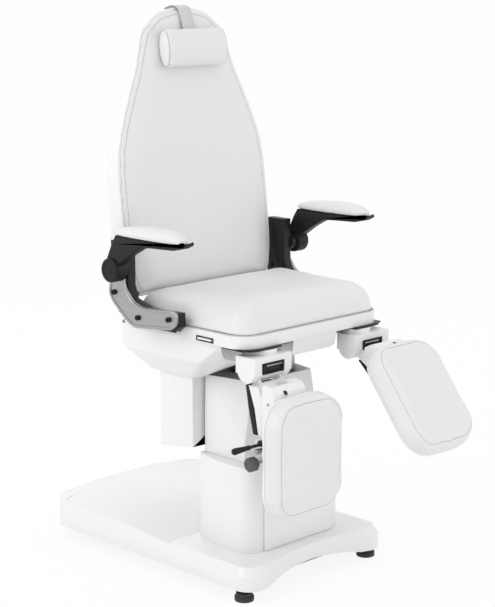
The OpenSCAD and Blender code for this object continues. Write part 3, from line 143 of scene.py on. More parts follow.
class Finish(Recipe):
    # a material around one Principled shader
    def __init__(self, name, colour, roughness, **fixed):
        self.material = bpy.data.materials.new(name)
        self.material.use_nodes = True
        super().__init__(self.material.node_tree)
        self.shader = self.tree.nodes["Principled BSDF"]
        self.colour = (*colour, 1) if len(colour) == 3 else colour
        self.roughness = roughness
        self.shader.inputs["Base Color"].default_value = self.colour
        self.shader.inputs["Roughness"].default_value = roughness
        for key, value in fixed.items():
            self.shader.inputs[key].default_value = value
        self.material.diffuse_color = self.colour

    def place(self, stretch=(1, 1, 1)):
        coordinates = self.add("ShaderNodeTexCoord", output=3)
        return self.add("ShaderNodeMapping", sockets={"Vector": coordinates, "Scale": stretch})

    def noise(self, scale, stretch=(1, 1, 1), detail=3, rough=0.5):
        return self.add("ShaderNodeTexNoise", {"noise_dimensions": "3D"},
                        {"Vector": self.place(stretch), "Scale": scale, "Detail": detail, "Roughness": rough})

    def cells(self, scale, stretch=(1, 1, 1), feature="F1"):
        return self.add("ShaderNodeTexVoronoi", {"feature": feature},
                        {"Vector": self.place(stretch), "Scale": scale})

    def waves(self, scale, stretch=(1, 1, 1), direction="X", distortion=0.0):
        return self.add("ShaderNodeTexWave", {"bands_direction": direction},
                        {"Vector": self.place(stretch), "Scale": scale, "Distortion": distortion}, 1)

    def between(self, low, high, mask):
        # a mask of 0 to 1 spread over low to high
        return mask * (high - low) + low

    def step(self, mask, low, high):
        return self.add("ShaderNodeMapRange", {"clamp": True},
                        {"Value": mask, "From Min": low, "From Max": high})

    def shade(self, factor, added=0.0):
        return tuple(c * factor + added for c in self.colour[:3])

    def tints(self, *layers):
        # the base colour, turned to each other one in turn where its mask is 1
        below = self.colour
        for mask, other in layers:
            below = self.add("ShaderNodeMix", {"data_type": "RGBA"}, {0: mask, 6: below, 7: (*other, 1)}, 2)
        self.link("Base Color", below)

    def rough(self, mask, down, up=None, wear=None):
        # the roughness spread by a mask, and raised where wear says
        spread = self.between(self.roughness - down, self.roughness + (down if up is None else up), mask)
        self.link("Roughness", spread if wear is None else spread + wear)

    def bump(self, height, distance, strength=1.0, below=None):
        sockets = {"Height": height, "Distance": distance, "Strength": strength}
        if below is not None:
            sockets["Normal"] = below
        out = self.add("ShaderNodeBump", sockets=sockets)
        self.link("Normal", out)
        return out

    def link(self, name, socket):
        self.tree.links.new(socket.out, self.shader.inputs[name])


world = bpy.data.worlds.new("studioWorld")
world.use_nodes = True
scene.world = world
world.node_tree.nodes.clear()
sky = Recipe(world.node_tree)


def seenDirectly(recipe):
    # 1 for rays that show the background: camera, glossy and transmission rays
    path = recipe.add("ShaderNodeLightPath")
    outputs = path.out.node.outputs
    camRay, glossRay, clearRay = (Socket(recipe, outputs[name])
                                  for name in ("Is Camera Ray", "Is Glossy Ray", "Is Transmission Ray"))
    return camRay.math("MAXIMUM", glossRay).math("MAXIMUM", clearRay)


lighting = sky.add("ShaderNodeBackground", sockets={"Color": (1, 1, 1, 1), "Strength": studio["sky"]})
backdrop = sky.add("ShaderNodeBackground", sockets={"Color": (1, 1, 1, 1), "Strength": 1.0})
skyMix = sky.add("ShaderNodeMixShader", sockets={0: seenDirectly(sky), 1: lighting, 2: backdrop})
sky.add("ShaderNodeOutputWorld", sockets={"Surface": skyMix})

floorMaterial = bpy.data.materials.new("paleFloor")
floorMaterial.use_nodes = True
floorMaterial.node_tree.nodes.clear()
floorRecipe = Recipe(floorMaterial.node_tree)
shade = studio["floorShade"]
floorDiffuse = floorRecipe.add("ShaderNodeBsdfDiffuse", sockets={"Color": (shade, shade, shade, 1)})
floorGlow = floorRecipe.add("ShaderNodeEmission", sockets={"Color": (1, 1, 1, 1), "Strength": 1.0})
floorMask = seenDirectly(floorRecipe) * studio["floorGlow"]
floorMix = floorRecipe.add("ShaderNodeMixShader", sockets={0: floorMask, 1: floorDiffuse, 2: floorGlow})
floorRecipe.add("ShaderNodeOutputMaterial", sockets={"Surface": floorMix})
floorMesh = bpy.data.meshes.new("studioFloor")
half = studio["floorHalf"]
floorMesh.from_pydata([(-half, -half, 0), (half, -half, 0), (half, half, 0), (-half, half, 0)], [], [(0, 1, 2, 3)])
floorMesh.materials.append(floorMaterial)
studioFloor = bpy.data.objects.new("studioFloor", floorMesh)
scene.collection.objects.link(studioFloor)
print("scene: camera, lamps and floor")

# Finishes
def coverPlastic(name, colour, roughness):
    # vacuum-formed and moulded covers: a faint orange peel and handling marks
    finish = Finish(name, colour, roughness, **{"IOR": 1.46, "Coat Roughness": 0.18})
    cloud = finish.noise(3.2, detail=4)
    scuff = finish.noise(46, (1, 1, 0.4), detail=6, rough=0.65)
    worn = finish.step(scuff, 0.56, 0.74)
    finish.tints((finish.between(0, 0.5, cloud), finish.shade(0.955)), (worn * 0.10, finish.shade(0.86)))
    finish.rough(cloud, 0.05, 0.07, worn * 0.05)
    finish.link("Coat Weight", finish.between(0.30, 0.16, scuff))
    finish.bump(finish.noise(520, detail=2), 0.00009, 0.55, finish.bump(finish.noise(38, detail=2), 0.0006, 0.25))
    return finish.material


def softVinyl(name, colour, roughness):
    # upholstery vinyl: pebbled leather grain, finer pores between the pebbles, slow sheen changes
    finish = Finish(name, colour, roughness, **{"IOR": 1.45, "Sheen Weight": 0.06, "Sheen Roughness": 0.4})
    cloud = finish.noise(4.5, detail=4)
    crease = finish.step(finish.noise(17, (1, 1, 0.35), detail=5, rough=0.6), 0.60, 0.75)
    finish.tints((finish.between(0, 0.5, cloud), finish.shade(0.96)), (crease * 0.14, finish.shade(0.90)))
    pebble = finish.cells(640, feature="SMOOTH_F1")
    pore = finish.noise(1900, detail=2)
    pull = finish.noise(30, (1, 1, 0.3), detail=3)
    finish.rough(pore, 0.06, wear=crease * 0.04)
    finish.bump(pebble * -0.7 + pore * 0.3, 0.00028, 0.42, finish.bump(pull, 0.0012, 0.22))
    return finish.material


def darkPlastic(name, colour, roughness, grain=900):
    finish = Finish(name, colour, roughness, **{"IOR": 1.33})
    cloud = finish.noise(11, detail=4)
    rub = finish.step(finish.noise(70, detail=6, rough=0.7), 0.58, 0.76)
    finish.tints((finish.between(0, 0.6, cloud), finish.shade(1.6, 0.001)), (rub * 0.22, finish.shade(2.5, 0.004)))
    finish.rough(cloud, 0.08)
    finish.bump(finish.noise(grain, detail=2), 0.00014, 0.6)
    return finish.material


def brushedMetal(name, colour, roughness, stretch, depth=0.00005):
    finish = Finish(name, colour, roughness, **{"Metallic": 1.0})
    streak = finish.noise(90, stretch, detail=5, rough=0.6)
    fine = finish.noise(340, stretch, detail=3)
    smear = finish.noise(9, detail=3)
    finish.tints((streak, finish.shade(0.82)), (finish.step(smear, 0.55, 0.8) * 0.35, finish.shade(0.9)))
    finish.rough(fine, 0.07, 0.09, smear * 0.05)
    finish.bump(streak * 0.6 + fine * 0.4, depth, 0.7)
    return finish.material


def paintedSteel(name, colour, roughness):
    finish = Finish(name, colour, roughness, **{"IOR": 1.5})
    cloud = finish.noise(5, detail=4)
    chip = finish.step(finish.noise(120, detail=6, rough=0.7), 0.66, 0.74)
    finish.tints((finish.between(0, 0.5, cloud), finish.shade(0.93)), (chip * 0.12, finish.shade(0.7)))
    finish.link("Coat Weight", finish.between(0.32, 0.2, cloud))
    finish.rough(cloud, 0.05, 0.06)
    finish.bump(finish.noise(430, detail=2), 0.00012, 0.5)
    return finish.material


def footRubber(name, colour, roughness):
    finish = Finish(name, colour, roughness)
    speck = finish.noise(300, detail=5)
    dust = finish.step(finish.noise(22, detail=4), 0.5, 0.8)
    finish.tints((speck, finish.shade(1.6)), (dust * 0.3, (0.16, 0.155, 0.15)))
    finish.rough(speck, 0.06)
    finish.bump(speck, 0.0003, 0.5)
    return finish.material


def wovenStrap(name, colour, roughness):
    # webbing: a plain weave along and across the strap
    finish = Finish(name, colour, roughness, **{"Sheen Weight": 0.2})
    warp = finish.waves(150, (1, 0, 0), "X")
    weft = finish.waves(150, (0, 0.6, 1), "Z")
    weave = warp * weft
    finish.tints((finish.step(weave, 0.0, 0.7), finish.shade(1.18)),
                 (finish.noise(40, detail=4) * 0.25, finish.shade(0.85)))
    finish.rough(weave, 0.05)
    finish.bump(weave, 0.0005, 0.7)
    return finish.material


def plyBoard(name, colour, roughness):
    finish = Finish(name, colour, roughness)
    grain = finish.noise(30, (1, 12, 12), detail=6, rough=0.6)
    layer = finish.waves(60, (0, 0, 1), "Z")
    finish.tints((grain, finish.shade(0.7)), (layer * 0.3, finish.shade(0.6)))
    finish.rough(grain, 0.08)
    finish.bump(grain, 0.0004, 0.5)
    return finish.material


finishes = {
    "cover_white": coverPlastic("coverWhite", (0.86, 0.86, 0.86), 0.34),
    "trim_white": coverPlastic("trimWhite", (0.85, 0.85, 0.85), 0.36),
    "vinyl": softVinyl("paleVinyl", (0.79, 0.79, 0.79), 0.47),
    "black_plastic": darkPlastic("blackPlastic", (0.009, 0.009, 0.0095), 0.45),
    "black_metal": darkPlastic("blackPaint", (0.011, 0.011, 0.0115), 0.4, 420),
    "frame_steel": paintedSteel("frameSteel", (0.20, 0.20, 0.21), 0.42),
    "tube_steel": brushedMetal("tubeSteel", (0.52, 0.53, 0.55), 0.30, (1, 1, 0.05)),
    "chrome": brushedMetal("chrome", (0.70, 0.71, 0.73), 0.13, (1, 0.1, 1), 0.00001),
    "silver_plate": brushedMetal("silverPlate", (0.47, 0.47, 0.48), 0.30, (1, 0.05, 1)),
    "bolt_steel": brushedMetal("boltSteel", (0.42, 0.42, 0.44), 0.26, (0.2, 1, 1), 0.00002),
    "foot_rubber": footRubber("footRubber", (0.022, 0.022, 0.023), 0.7),
    "strap_web": wovenStrap("strapWebbing", (0.62, 0.62, 0.63), 0.75),
    "knob_grey": darkPlastic("knobGrey", (0.085, 0.085, 0.09), 0.45, 700),
    # the boards get a dark grey as painted shade: the seat board's edge in the gap under the cushion stands for the
    # shadow line between cushion and lip
    "board": plyBoard("boardStained", (0.16, 0.15, 0.14), 0.6),
}
# a dark grey for the thin pipes laid in the pad seams: painted shade of the seam lines
seamShade = darkPlastic("seamShade", (0.34, 0.34, 0.345), 0.6)
# a mid grey for the pipe along the seat cushion's lower edge: painted shade of the line between cushion and lip
pipingShade = softVinyl("pipingShade", (0.60, 0.60, 0.605), 0.6)
print("scene: finishes", len(finishes))

# Mesh helpers
def linked(name, mesh):
    obj = bpy.data.objects.new(name, mesh)
    scene.collection.objects.link(obj)
    return obj


def settled(obj):
    # turns the evaluated object into a plain mesh without modifiers
    bpy.context.view_layer.update()
    graph = bpy.context.evaluated_depsgraph_get()
    mesh = bpy.data.meshes.new_from_object(obj.evaluated_get(graph))
    obj.modifiers.clear()
    obj.data = mesh
    return obj


def shaded(mesh, angle=35):
    mesh.shade_smooth()
    mesh.set_sharp_from_angle(angle=math.radians(angle))


def dress(obj, body, slot, replaced=(), angle=35, material=None):
    obj.data.materials.clear()
    obj.data.materials.append(material or finishes[slot])
    shaded(obj.data, angle)
    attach(obj, body)
    if replaced:
        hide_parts(*replaced)
    return obj


def fromBmesh(name, bm, recalc=True):
    if recalc:
        bmesh.ops.remove_doubles(bm, verts=bm.verts, dist=2e-6)
        bmesh.ops.recalc_face_normals(bm, faces=bm.faces)
    mesh = bpy.data.meshes.new(name)
    bm.to_mesh(mesh)
    bm.free()
    return linked(name, mesh)


def bevelled(obj, width, segments=2, angle=30):
    bevel = obj.modifiers.new("bevel", "BEVEL")
    bevel.limit_method, bevel.angle_limit = "ANGLE", math.radians(angle)
    bevel.width, bevel.segments, bevel.use_clamp_overlap = width, segments, True
    return settled(obj)


def rings(bm, loops):
    # skins a list of equal rings of points, with a face at each end
    made = [[bm.verts.new(p) for p in loop] for loop in loops]
    count = len(made[0])
    for a, b in zip(made, made[1:]):
        for i in range(count):
            j = (i + 1) % count
            bm.faces.new((a[i], a[j], b[j], b[i]))
    bm.faces.new(made[0])
    bm.faces.new(made[-1])


def skinned(name, loops):
    bm = bmesh.new()
    rings(bm, loops)
    return fromBmesh(name, bm)


def put(matrix, points):
    return [matrix @ Vector(p) for p in points]


def smoothTable(table, count):
    # a smooth run of count points through a short table of points, by chord length
    points = np.array(table, float)
    chord = np.concatenate([[0], np.cumsum(np.maximum(1e-9, np.linalg.norm(np.diff(points, axis=0), axis=1)))])
    extended = np.vstack([2 * points[0] - points[1], points, 2 * points[-1] - points[-2]])
    out = []
    for t in np.linspace(0, chord[-1], count):
        k = min(len(points) - 2, int(np.searchsorted(chord, t, side="right")) - 1)
        u = (t - chord[k]) / (chord[k + 1] - chord[k])
        a, b, c, d = extended[k:k + 4]
        bend = 0.5 * (2 * b + (c - a) * u + (2 * a - 5 * b + 4 * c - d) * u * u + (3 * b - a - 3 * c + d) * u ** 3)
        straight = b + (c - b) * u
        out.append(bend * 0.85 + straight * 0.15)
    return np.array(out)


def roundOutline(halfWidth, halfLength, radius, steps=10, sides=6, rearRadius=None):
    # counter-clockwise outline with round corners and points along its sides
    corners = []
    for quarter, (sx, sy) in enumerate(((1, 1), (-1, 1), (-1, -1), (1, -1))):
        r = rearRadius if sy > 0 and rearRadius is not None else radius
        centre = (sx * (halfWidth - r), sy * (halfLength - r))
        corners.append([(centre[0] + r * math.cos(math.radians(90 * (quarter + i / steps))),
                         centre[1] + r * math.sin(math.radians(90 * (quarter + i / steps))))
                        for i in range(steps + 1)])
    out = []
    for quarter in range(4):
        out += corners[quarter]
        a, b = corners[quarter][-1], corners[(quarter + 1) % 4][0]
        out += [(a[0] + (b[0] - a[0]) * k / sides, a[1] + (b[1] - a[1]) * k / sides) for k in range(1, sides)]
    return out


def filleted(points, radii, steps=7):
    # a polygon with each corner rounded to its own radius
    out = []
    count = len(points)
    for i in range(count):
        corner = Vector(points[i])
        before, after = Vector(points[i - 1]), Vector(points[(i + 1) % count])
        u, v = (before - corner), (after - corner)
        lu, lv = u.length, v.length
        u, v = u / lu, v / lv
        half = math.acos(max(-1, min(1, u.dot(v)))) / 2
        radius = radii[i] if isinstance(radii, (list, tuple)) else radii
        reach = min(radius / max(1e-6, math.tan(half)), 0.49 * lu, 0.49 * lv)
        radius = reach * math.tan(half)
        if radius < 1e-6 or half > math.radians(89):
            out.append(tuple(corner))
            continue
        centre = corner + (u + v).normalized() * (radius / math.sin(half))
        start, end = corner + u * reach - centre, corner + v * reach - centre
        a0 = math.atan2(start.y, start.x)
        turn = (math.atan2(end.y, end.x) - a0 + math.pi) % (2 * math.pi) - math.pi
        out += [tuple(centre + radius * Vector((math.cos(a0 + turn * k / steps), math.sin(a0 + turn * k / steps))))
                for k in range(steps + 1)]
    return out


def area(points):
    return sum(a[0] * b[1] - b[0] * a[1] for a, b in zip(points, points[1:] + points[:1])) / 2


def inset(points, distance):
    # an outline drawn in along its own normals
    sign = 1 if area(points) > 0 else -1
    count = len(points)
    out = []
    for i in range(count):
        d = Vector(points[(i + 1) % count]) - Vector(points[i - 1])
        normal = Vector((d.y, -d.x)) * sign / max(1e-9, d.length)
        out.append((points[i][0] - normal.x * distance, points[i][1] - normal.y * distance))
    return out


def plateBetween(bm, outline, x0, x1, edge, matrix, steps=3):
    # an outline in (y, z) stood up between x0 and x1, with round edges
    angles = [math.pi / 2 * k / steps for k in range(steps + 1)]
    rounds = [(edge * (1 - math.sin(a)), edge * (1 - math.cos(a))) for a in angles]
    loops = [put(matrix, [(x0 + rise, y, z) for y, z in inset(outline, drawn)]) for drawn, rise in rounds]
    loops += [put(matrix, [(x1 - rise, y, z) for y, z in inset(outline, drawn)]) for rise, drawn in rounds]
    rings(bm, loops)


def turned(bm, profile, matrix, count=48):
    # a shape turned about the matrix's X axis; the profile is (x, radius) from one end to the other
    angles = [2 * math.pi * i / count for i in range(count)]
    rings(bm, [put(matrix, [(x, r * math.cos(a), r * math.sin(a)) for a in angles]) for x, r in profile])


def lathed(name, shapes, body, slot, replaced=(), angle=40):
    # a dressed piece of turned shapes, each a (profile, matrix, count)
    bm = bmesh.new()
    for shape in shapes:
        turned(bm, *shape)
    return dress(fromBmesh(name, bm), body, slot, replaced, angle)


def solidBox(bm, low, high, matrix):
    corners = [(x, y, z) for x in (low[0], high[0]) for y in (low[1], high[1]) for z in (low[2], high[2])]
    v = [bm.verts.new(c) for c in put(matrix, corners)]
    for f in ((0, 1, 3, 2), (4, 6, 7, 5), (0, 4, 5, 1), (2, 3, 7, 6), (0, 2, 6, 4), (1, 5, 7, 3)):
        bm.faces.new([v[i] for i in f])


# the parts' own frames, in millimetres from the column's axis
pose = {"backLean": 6.5, "raisedTilt": 37.5, "pivotUp": 20, "pivotY": 285, "legY": -180, "legDrop": 56}
inMillimetres = Matrix.Diagonal((mm, mm, mm, 1))
atColumn = Matrix.Translation((0, columnY, 0)) @ inMillimetres
atSeat = Matrix.Translation((0, columnY, seatTop)) @ inMillimetres
backFrame = (Matrix.Translation((0, columnY + pose["pivotY"] * mm, seatTop + pose["pivotUp"] * mm))
             @ Matrix.Rotation(math.radians(-pose["backLean"]), 4, "X") @ inMillimetres)
mirrorX = Matrix.Diagonal((-1, 1, 1, 1))
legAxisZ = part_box("seat_lip")[0].z - pose["legDrop"] * mm
sides = {"left": 1, "right": -1}


def sideFrame(base, side):
    return base if side == "left" else mirrorX @ base


def legFrame(side, raised=True):
    # a leg rest's frame, or its knuckle's, which stays level when the left rest is raised
    tilt = -pose["raisedTilt"] if raised and side == "left" else 0
    return sideFrame(Matrix.Translation((0, columnY + pose["legY"] * mm, legAxisZ))
                     @ Matrix.Rotation(math.radians(tilt), 4, "X") @ inMillimetres, side)


def nodeCopy(node, name, dissolve=0.6):
    # the CAD node's surface with its loose triangles merged and its flat faces joined
    bm = bmesh.new()
    bm.from_mesh(frame["nodes"][node].data)
    bmesh.ops.remove_doubles(bm, verts=bm.verts, dist=1e-5)
    bmesh.ops.dissolve_limit(bm, angle_limit=math.radians(dissolve), verts=bm.verts, edges=bm.edges)
    return fromBmesh(name, bm, False)


def softened(node, width, segments=2, angle=30, shadeAngle=35, reshape=None):
    # the node with its edges broken, standing for the node; reshape moves its points first
    piece = nodeCopy(node, node + "_skin")
    if reshape:
        for vertex in piece.data.vertices:
            reshape(vertex.co)
    bevelled(piece, width * mm, segments, angle)
    return dress(piece, bodyOf[node], slotOf[node], (node,), shadeAngle)


# Geometry Nodes recipes
class Growth(Recipe):
    # a Geometry Nodes tree with named inputs
    def __init__(self, name, numbers):
        super().__init__(bpy.data.node_groups.new(name, "GeometryNodeTree"))
        face = self.tree.interface
        face.new_socket("Geometry", in_out="INPUT", socket_type="NodeSocketGeometry")
        face.new_socket("Geometry", in_out="OUTPUT", socket_type="NodeSocketGeometry")
        self.keys = {}
        for label, kind, value in numbers:
            item = face.new_socket(label, in_out="INPUT", socket_type=kind)
            if value is not None:
                item.default_value = value
            self.keys[label] = item.identifier
        self.entry = self.tree.nodes.new("NodeGroupInput")
        self.exit = self.tree.nodes.new("NodeGroupOutput")

    def given(self, label):
        return Socket(self, self.entry.outputs[label])

    def close(self, geometry):
        whole = self.add("GeometryNodeRealizeInstances", sockets={"Geometry": geometry})
        done = self.add("GeometryNodeSetMaterial", sockets={"Geometry": whole, "Material": self.given("Finish")})
        self.tree.links.new(done.out, self.exit.inputs[0])

    def grow(self, obj, values):
        modifier = obj.modifiers.new("grow", "NODES")
        modifier.node_group = self.tree
        for label, value in values.items():
            modifier[self.keys[label]] = value
        return settled(obj)


def pipeGrowth():
    # a tube that follows the object's edges
    growth = Growth("pipeAlongPath", [("Radius", "NodeSocketFloat", 0.001), ("Step", "NodeSocketFloat", 0.004),
                                      ("Sides", "NodeSocketInt", 8), ("Finish", "NodeSocketMaterial", None)])
    path = growth.add("GeometryNodeMeshToCurve", sockets={"Mesh": growth.given("Geometry")})
    even = growth.add("GeometryNodeResampleCurve", {"mode": "LENGTH"},
                      {"Curve": path, "Length": growth.given("Step")})
    ring = growth.add("GeometryNodeCurvePrimitiveCircle",
                      sockets={"Resolution": growth.given("Sides"), "Radius": growth.given("Radius")})
    growth.close(growth.add("GeometryNodeCurveToMesh", sockets={"Curve": even, "Profile Curve": ring,
                                                                "Fill Caps": True}))
    return growth


def ringGrowth():
    # copies of one piece set round the X axis at each of the object's points
    growth = Growth("roundTheAxis", [("Count", "NodeSocketInt", 8), ("Reach", "NodeSocketFloat", 0.01),
                                     ("Piece radius", "NodeSocketFloat", 0.005),
                                     ("Piece length", "NodeSocketFloat", 0.02),
                                     ("Vertices", "NodeSocketInt", 20), ("Finish", "NodeSocketMaterial", None)])
    spots = growth.add("GeometryNodeCurvePrimitiveCircle",
                       sockets={"Resolution": growth.given("Count"), "Radius": growth.given("Reach")})
    points = growth.add("GeometryNodeCurveToPoints", {"mode": "EVALUATED"}, {"Curve": spots})
    lobe = growth.add("GeometryNodeMeshCylinder", {"fill_type": "NGON"},
                      {"Vertices": growth.given("Vertices"), "Radius": growth.given("Piece radius"),
                       "Depth": growth.given("Piece length")})
    wheel = growth.add("GeometryNodeInstanceOnPoints", sockets={"Points": points, "Instance": lobe})
    solidWheel = growth.add("GeometryNodeRealizeInstances", sockets={"Geometry": wheel})
    upright = growth.add("GeometryNodeTransform",
                         sockets={"Geometry": solidWheel, "Rotation": (0, math.pi / 2, 0)})
    growth.close(growth.add("GeometryNodeInstanceOnPoints",
                            sockets={"Points": growth.given("Geometry"), "Instance": upright}))
    return growth


def boltGrowth():
    # one screw at each of the object's points, turned along the point's own facing
    growth = Growth("screwSet", [("Screw", "NodeSocketObject", None), ("Finish", "NodeSocketMaterial", None)])
    screw = growth.add("GeometryNodeObjectInfo", {"transform_space": "ORIGINAL"},
                       {"Object": growth.given("Screw"), "As Instance": False}, "Geometry")
    facing = growth.add("GeometryNodeInputNamedAttribute", {"data_type": "FLOAT_VECTOR"}, {"Name": "facing"})
    turn = growth.add("FunctionNodeAlignRotationToVector", {"axis": "X"}, {"Vector": facing})
    growth.close(growth.add("GeometryNodeInstanceOnPoints",
                            sockets={"Points": growth.given("Geometry"), "Instance": screw, "Rotation": turn}))
    return growth


pipes, wheels, screws = pipeGrowth(), ringGrowth(), boltGrowth()


def pathObject(name, points, closed=True):
    count = len(points)
    edges = [(i, (i + 1) % count) for i in range(count if closed else count - 1)]
    mesh = bpy.data.meshes.new(name)
    mesh.from_pydata([tuple(p) for p in points], edges, [])
    return linked(name, mesh)


def piped(name, points, radius, body, slot, closed=True, material=None, step=4, sides=8):
    piece = pathObject(name, points, closed)
    pipes.grow(piece, {"Radius": radius * mm, "Step": step * mm, "Sides": sides,
                       "Finish": material or finishes[slot]})
    return dress(piece, body, slot, angle=50, material=material)


# Padded pieces
def coordinates(mesh, kind="co"):
    values = np.zeros(len(mesh.vertices) * 3, np.float32)
    mesh.vertices.foreach_get(kind, values)
    return values.reshape(-1, 3).astype(float)


def setCoordinates(mesh, values):
    mesh.vertices.foreach_set("co", values.astype(np.float32).ravel())
    mesh.update()


def inFrame(points, matrix):
    inverse = np.array(matrix.inverted())
    return points @ inverse[:3, :3].T + inverse[:3, 3]


def relaxed(mesh, times, amount=0.5, held=None):
    # evens the surface out by moving each point towards its neighbours
    edges = np.zeros(len(mesh.edges) * 2, np.int32)
    mesh.edges.foreach_get("vertices", edges)
    edges = edges.reshape(-1, 2)
    place = coordinates(mesh)
    degree = np.bincount(edges.ravel(), minlength=len(place)).astype(float)[:, None]
    for _ in range(times):
        total = np.zeros_like(place)
        np.add.at(total, edges[:, 0], place[edges[:, 1]])
        np.add.at(total, edges[:, 1], place[edges[:, 0]])
        moved = place + (total / np.maximum(degree, 1) - place) * amount
        place = moved if held is None else np.where(held[:, None], place, moved)
    setCoordinates(mesh, place)


cloth = {"frames": 20, "settings": {"quality": 4, "mass": 0.25, "tension_stiffness": 12, "compression_stiffness": 12,
                                     "shear_stiffness": 6, "bending_stiffness": 0.4, "use_pressure": True,
                                     "vertex_group_mass": "held"}}


def inflated(obj, sizes, held, relax=6):
    # remeshes the pad, blows it up as cloth for twenty frames and caps how far a point may move
    remesh = obj.modifiers.new("remesh", "REMESH")
    remesh.mode, remesh.voxel_size = "VOXEL", sizes["voxel"] * mm
    settled(obj)
    start = coordinates(obj.data)
    fixed = held(start)
    group = obj.vertex_groups.new(name="held")
    group.add([int(i) for i in np.nonzero(fixed)[0]], 1.0, "REPLACE")
    modifier = obj.modifiers.new("cloth", "CLOTH")
    for key, value in cloth["settings"].items():
        setattr(modifier.settings, key, value)
    modifier.settings.uniform_pressure_force = sizes["pressure"]
    modifier.settings.effector_weights.gravity = 0
    modifier.collision_settings.use_collision = False
    modifier.point_cache.frame_start, modifier.point_cache.frame_end = 1, cloth["frames"]
    for number in range(1, cloth["frames"] + 1):
        scene.frame_set(number)
    graph = bpy.context.evaluated_depsgraph_get()
    blown = coordinates(obj.evaluated_get(graph).data)
    obj.modifiers.clear()
    scene.frame_set(1)
    move = blown - start
    size = np.linalg.norm(move, axis=1, keepdims=True)
    move *= np.minimum(1, sizes["cap"] * mm / np.maximum(size, 1e-9))
    setCoordinates(obj.data, start + move)
    obj.vertex_groups.clear()
    relaxed(obj.data, relax, 0.5, fixed)
    subdivide = obj.modifiers.new("subdivide", "SUBSURF")
    subdivide.levels = subdivide.render_levels = 1
    return settled(obj)


def grooved(obj, path, depth, width):
    # presses a seam into the pad along a path of points
    tree = KDTree(len(path))
    for index, point in enumerate(path):
        tree.insert(point, index)
    tree.balance()
    place, outward = coordinates(obj.data), coordinates(obj.data, "normal")
    reach = 4 * width * mm
    for i, point in enumerate(place):
        distance = tree.find(point)[2]
        if distance < reach:
            place[i] = point - outward[i] * depth * mm * math.exp(-(distance / (width * mm)) ** 2)
    setCoordinates(obj.data, place)


def seamWithShadePipe(name, piece, path, sizes, body):
    # presses a seam into the pad and lays a thin dark pipe in its groove; the pipe's dark grey is painted shade of the
    # seam line
    seam = onto(piece, path, 0)
    grooved(piece, seam, *sizes["groove"])
    piped(name, onto(piece, seam, sizes["shadePipeLift"]), sizes["shadePipeRadius"], body, "vinyl", material=seamShade)


def pressed(obj, matrix, amount):
    # moves each point along its normal by amount(x, y, z) millimetres, in the piece's own frame
    place, outward = coordinates(obj.data), coordinates(obj.data, "normal")
    setCoordinates(obj.data, place + outward * (amount(*inFrame(place, matrix).T) * mm)[:, None])


def onto(obj, points, lift=0.3):
    # moves path points to the pad's surface, a little proud of it
    bm = bmesh.new()
    bm.from_mesh(obj.data)
    tree = BVHTree.FromBMesh(bm)
    out = []
    for point in points:
        place, normal, _, _ = tree.find_nearest(Vector(point))
        out.append(place + normal * lift * mm)
    bm.free()
    return out


# Seat cushion
seat = {"width": 562, "length": 434, "front": -183, "height": 80, "corner": 64, "rearCorner": 20,
        "fuller": 0.6, "shrink": 2.5, "drawIn": 91, "voxel": 6.0, "pressure": 4.0, "cap": 9,
        "shares": [(0.056, 0), (0.011, 0.065), (0, 0.182), (0.011, 0.39), (0.056, 0.597), (0.144, 0.766),
                   (0.289, 0.896), (0.533, 0.961), (1, 1)]}


def seatCushion():
    centre = seat["front"] + seat["length"] / 2
    loops = []
    for drawn, rise in smoothTable(seat["shares"], 26):
        t = max(0, drawn) * seat["drawIn"] + seat["shrink"]
        radius = max(seat["corner"] - t, seat["corner"] / 4)
        z = 0.4 + max(0, rise) * (seat["height"] - seat["shrink"] - 3)
        outline = roundOutline(seat["width"] / 2 - t, seat["length"] / 2 - t, radius,
                               rearRadius=max(seat["rearCorner"] - t, seat["rearCorner"] / 4))
        # the top edge is fuller towards the rear, where the arm brackets hold the cushion
        full = (seat["width"] / 2 - seat["shrink"]) / (seat["width"] / 2 - t)
        loops.append([atSeat @ Vector((x * (1 + (full - 1) * seat["fuller"] * min(1, max(0, 0.5 + y / 200))),
                                       y + centre, z)) for x, y in outline])
    piece = skinned("seatCushion", loops)
    base = seatTop + 4 * mm
    inflated(piece, seat, lambda p: p[:, 2] < base)
    half, front = seat["width"] / 2, seat["front"]

    def folds(x, y, z):
        top = np.clip((z - 45) / 30, 0, 1)
        u, v = x / half, (y - front) / seat["length"]
        crown = 2.6 * (1 - np.abs(u) ** 2.4) * np.clip(1 - np.abs(2 * v - 1) ** 3, 0, 1)
        dent = -2.2 * np.exp(-((v - 0.45 - 0.06 * u) / 0.035) ** 2) * np.clip(1.1 - np.abs(u), 0, 1)
        total = top * (crown + dent)
        for sx in (-1, 1):
            # creases that fan out from the front corners
            dx, dy = sx * half * 0.93 - x, y - (front + 22)
            angle, reach = np.arctan2(dy, sx * dx), np.hypot(dx, dy)
            for turn, size in ((0.42, 1.5), (0.75, 1.9), (1.08, 1.3)):
                total -= top * size * np.exp(-((angle - turn) / 0.07) ** 2) * np.exp(-((reach - 60) / 55) ** 2)
        return total

    pressed(piece, atSeat, folds)
    return piece


seatPiece = seatCushion()
dress(seatPiece, "seat", "vinyl", ("seat_cushion",), 60)
# a pipe fills the groove along the cushion's lower edge; its grey, darker than the vinyl, is painted shade of the line
# between cushion and lip
seatSeam = [atSeat @ Vector((x, y + seat["front"] + seat["length"] / 2, 1.2)) for x, y in
            roundOutline(seat["width"] / 2 - 2.5, seat["length"] / 2 - 2.5, seat["corner"] - 2, 16, 30,
                         seat["rearCorner"] - 2)]
piped("seatWelt", seatSeam, 1.7, "seat", "vinyl", material=pipingShade)
print("scene: seat cushion")

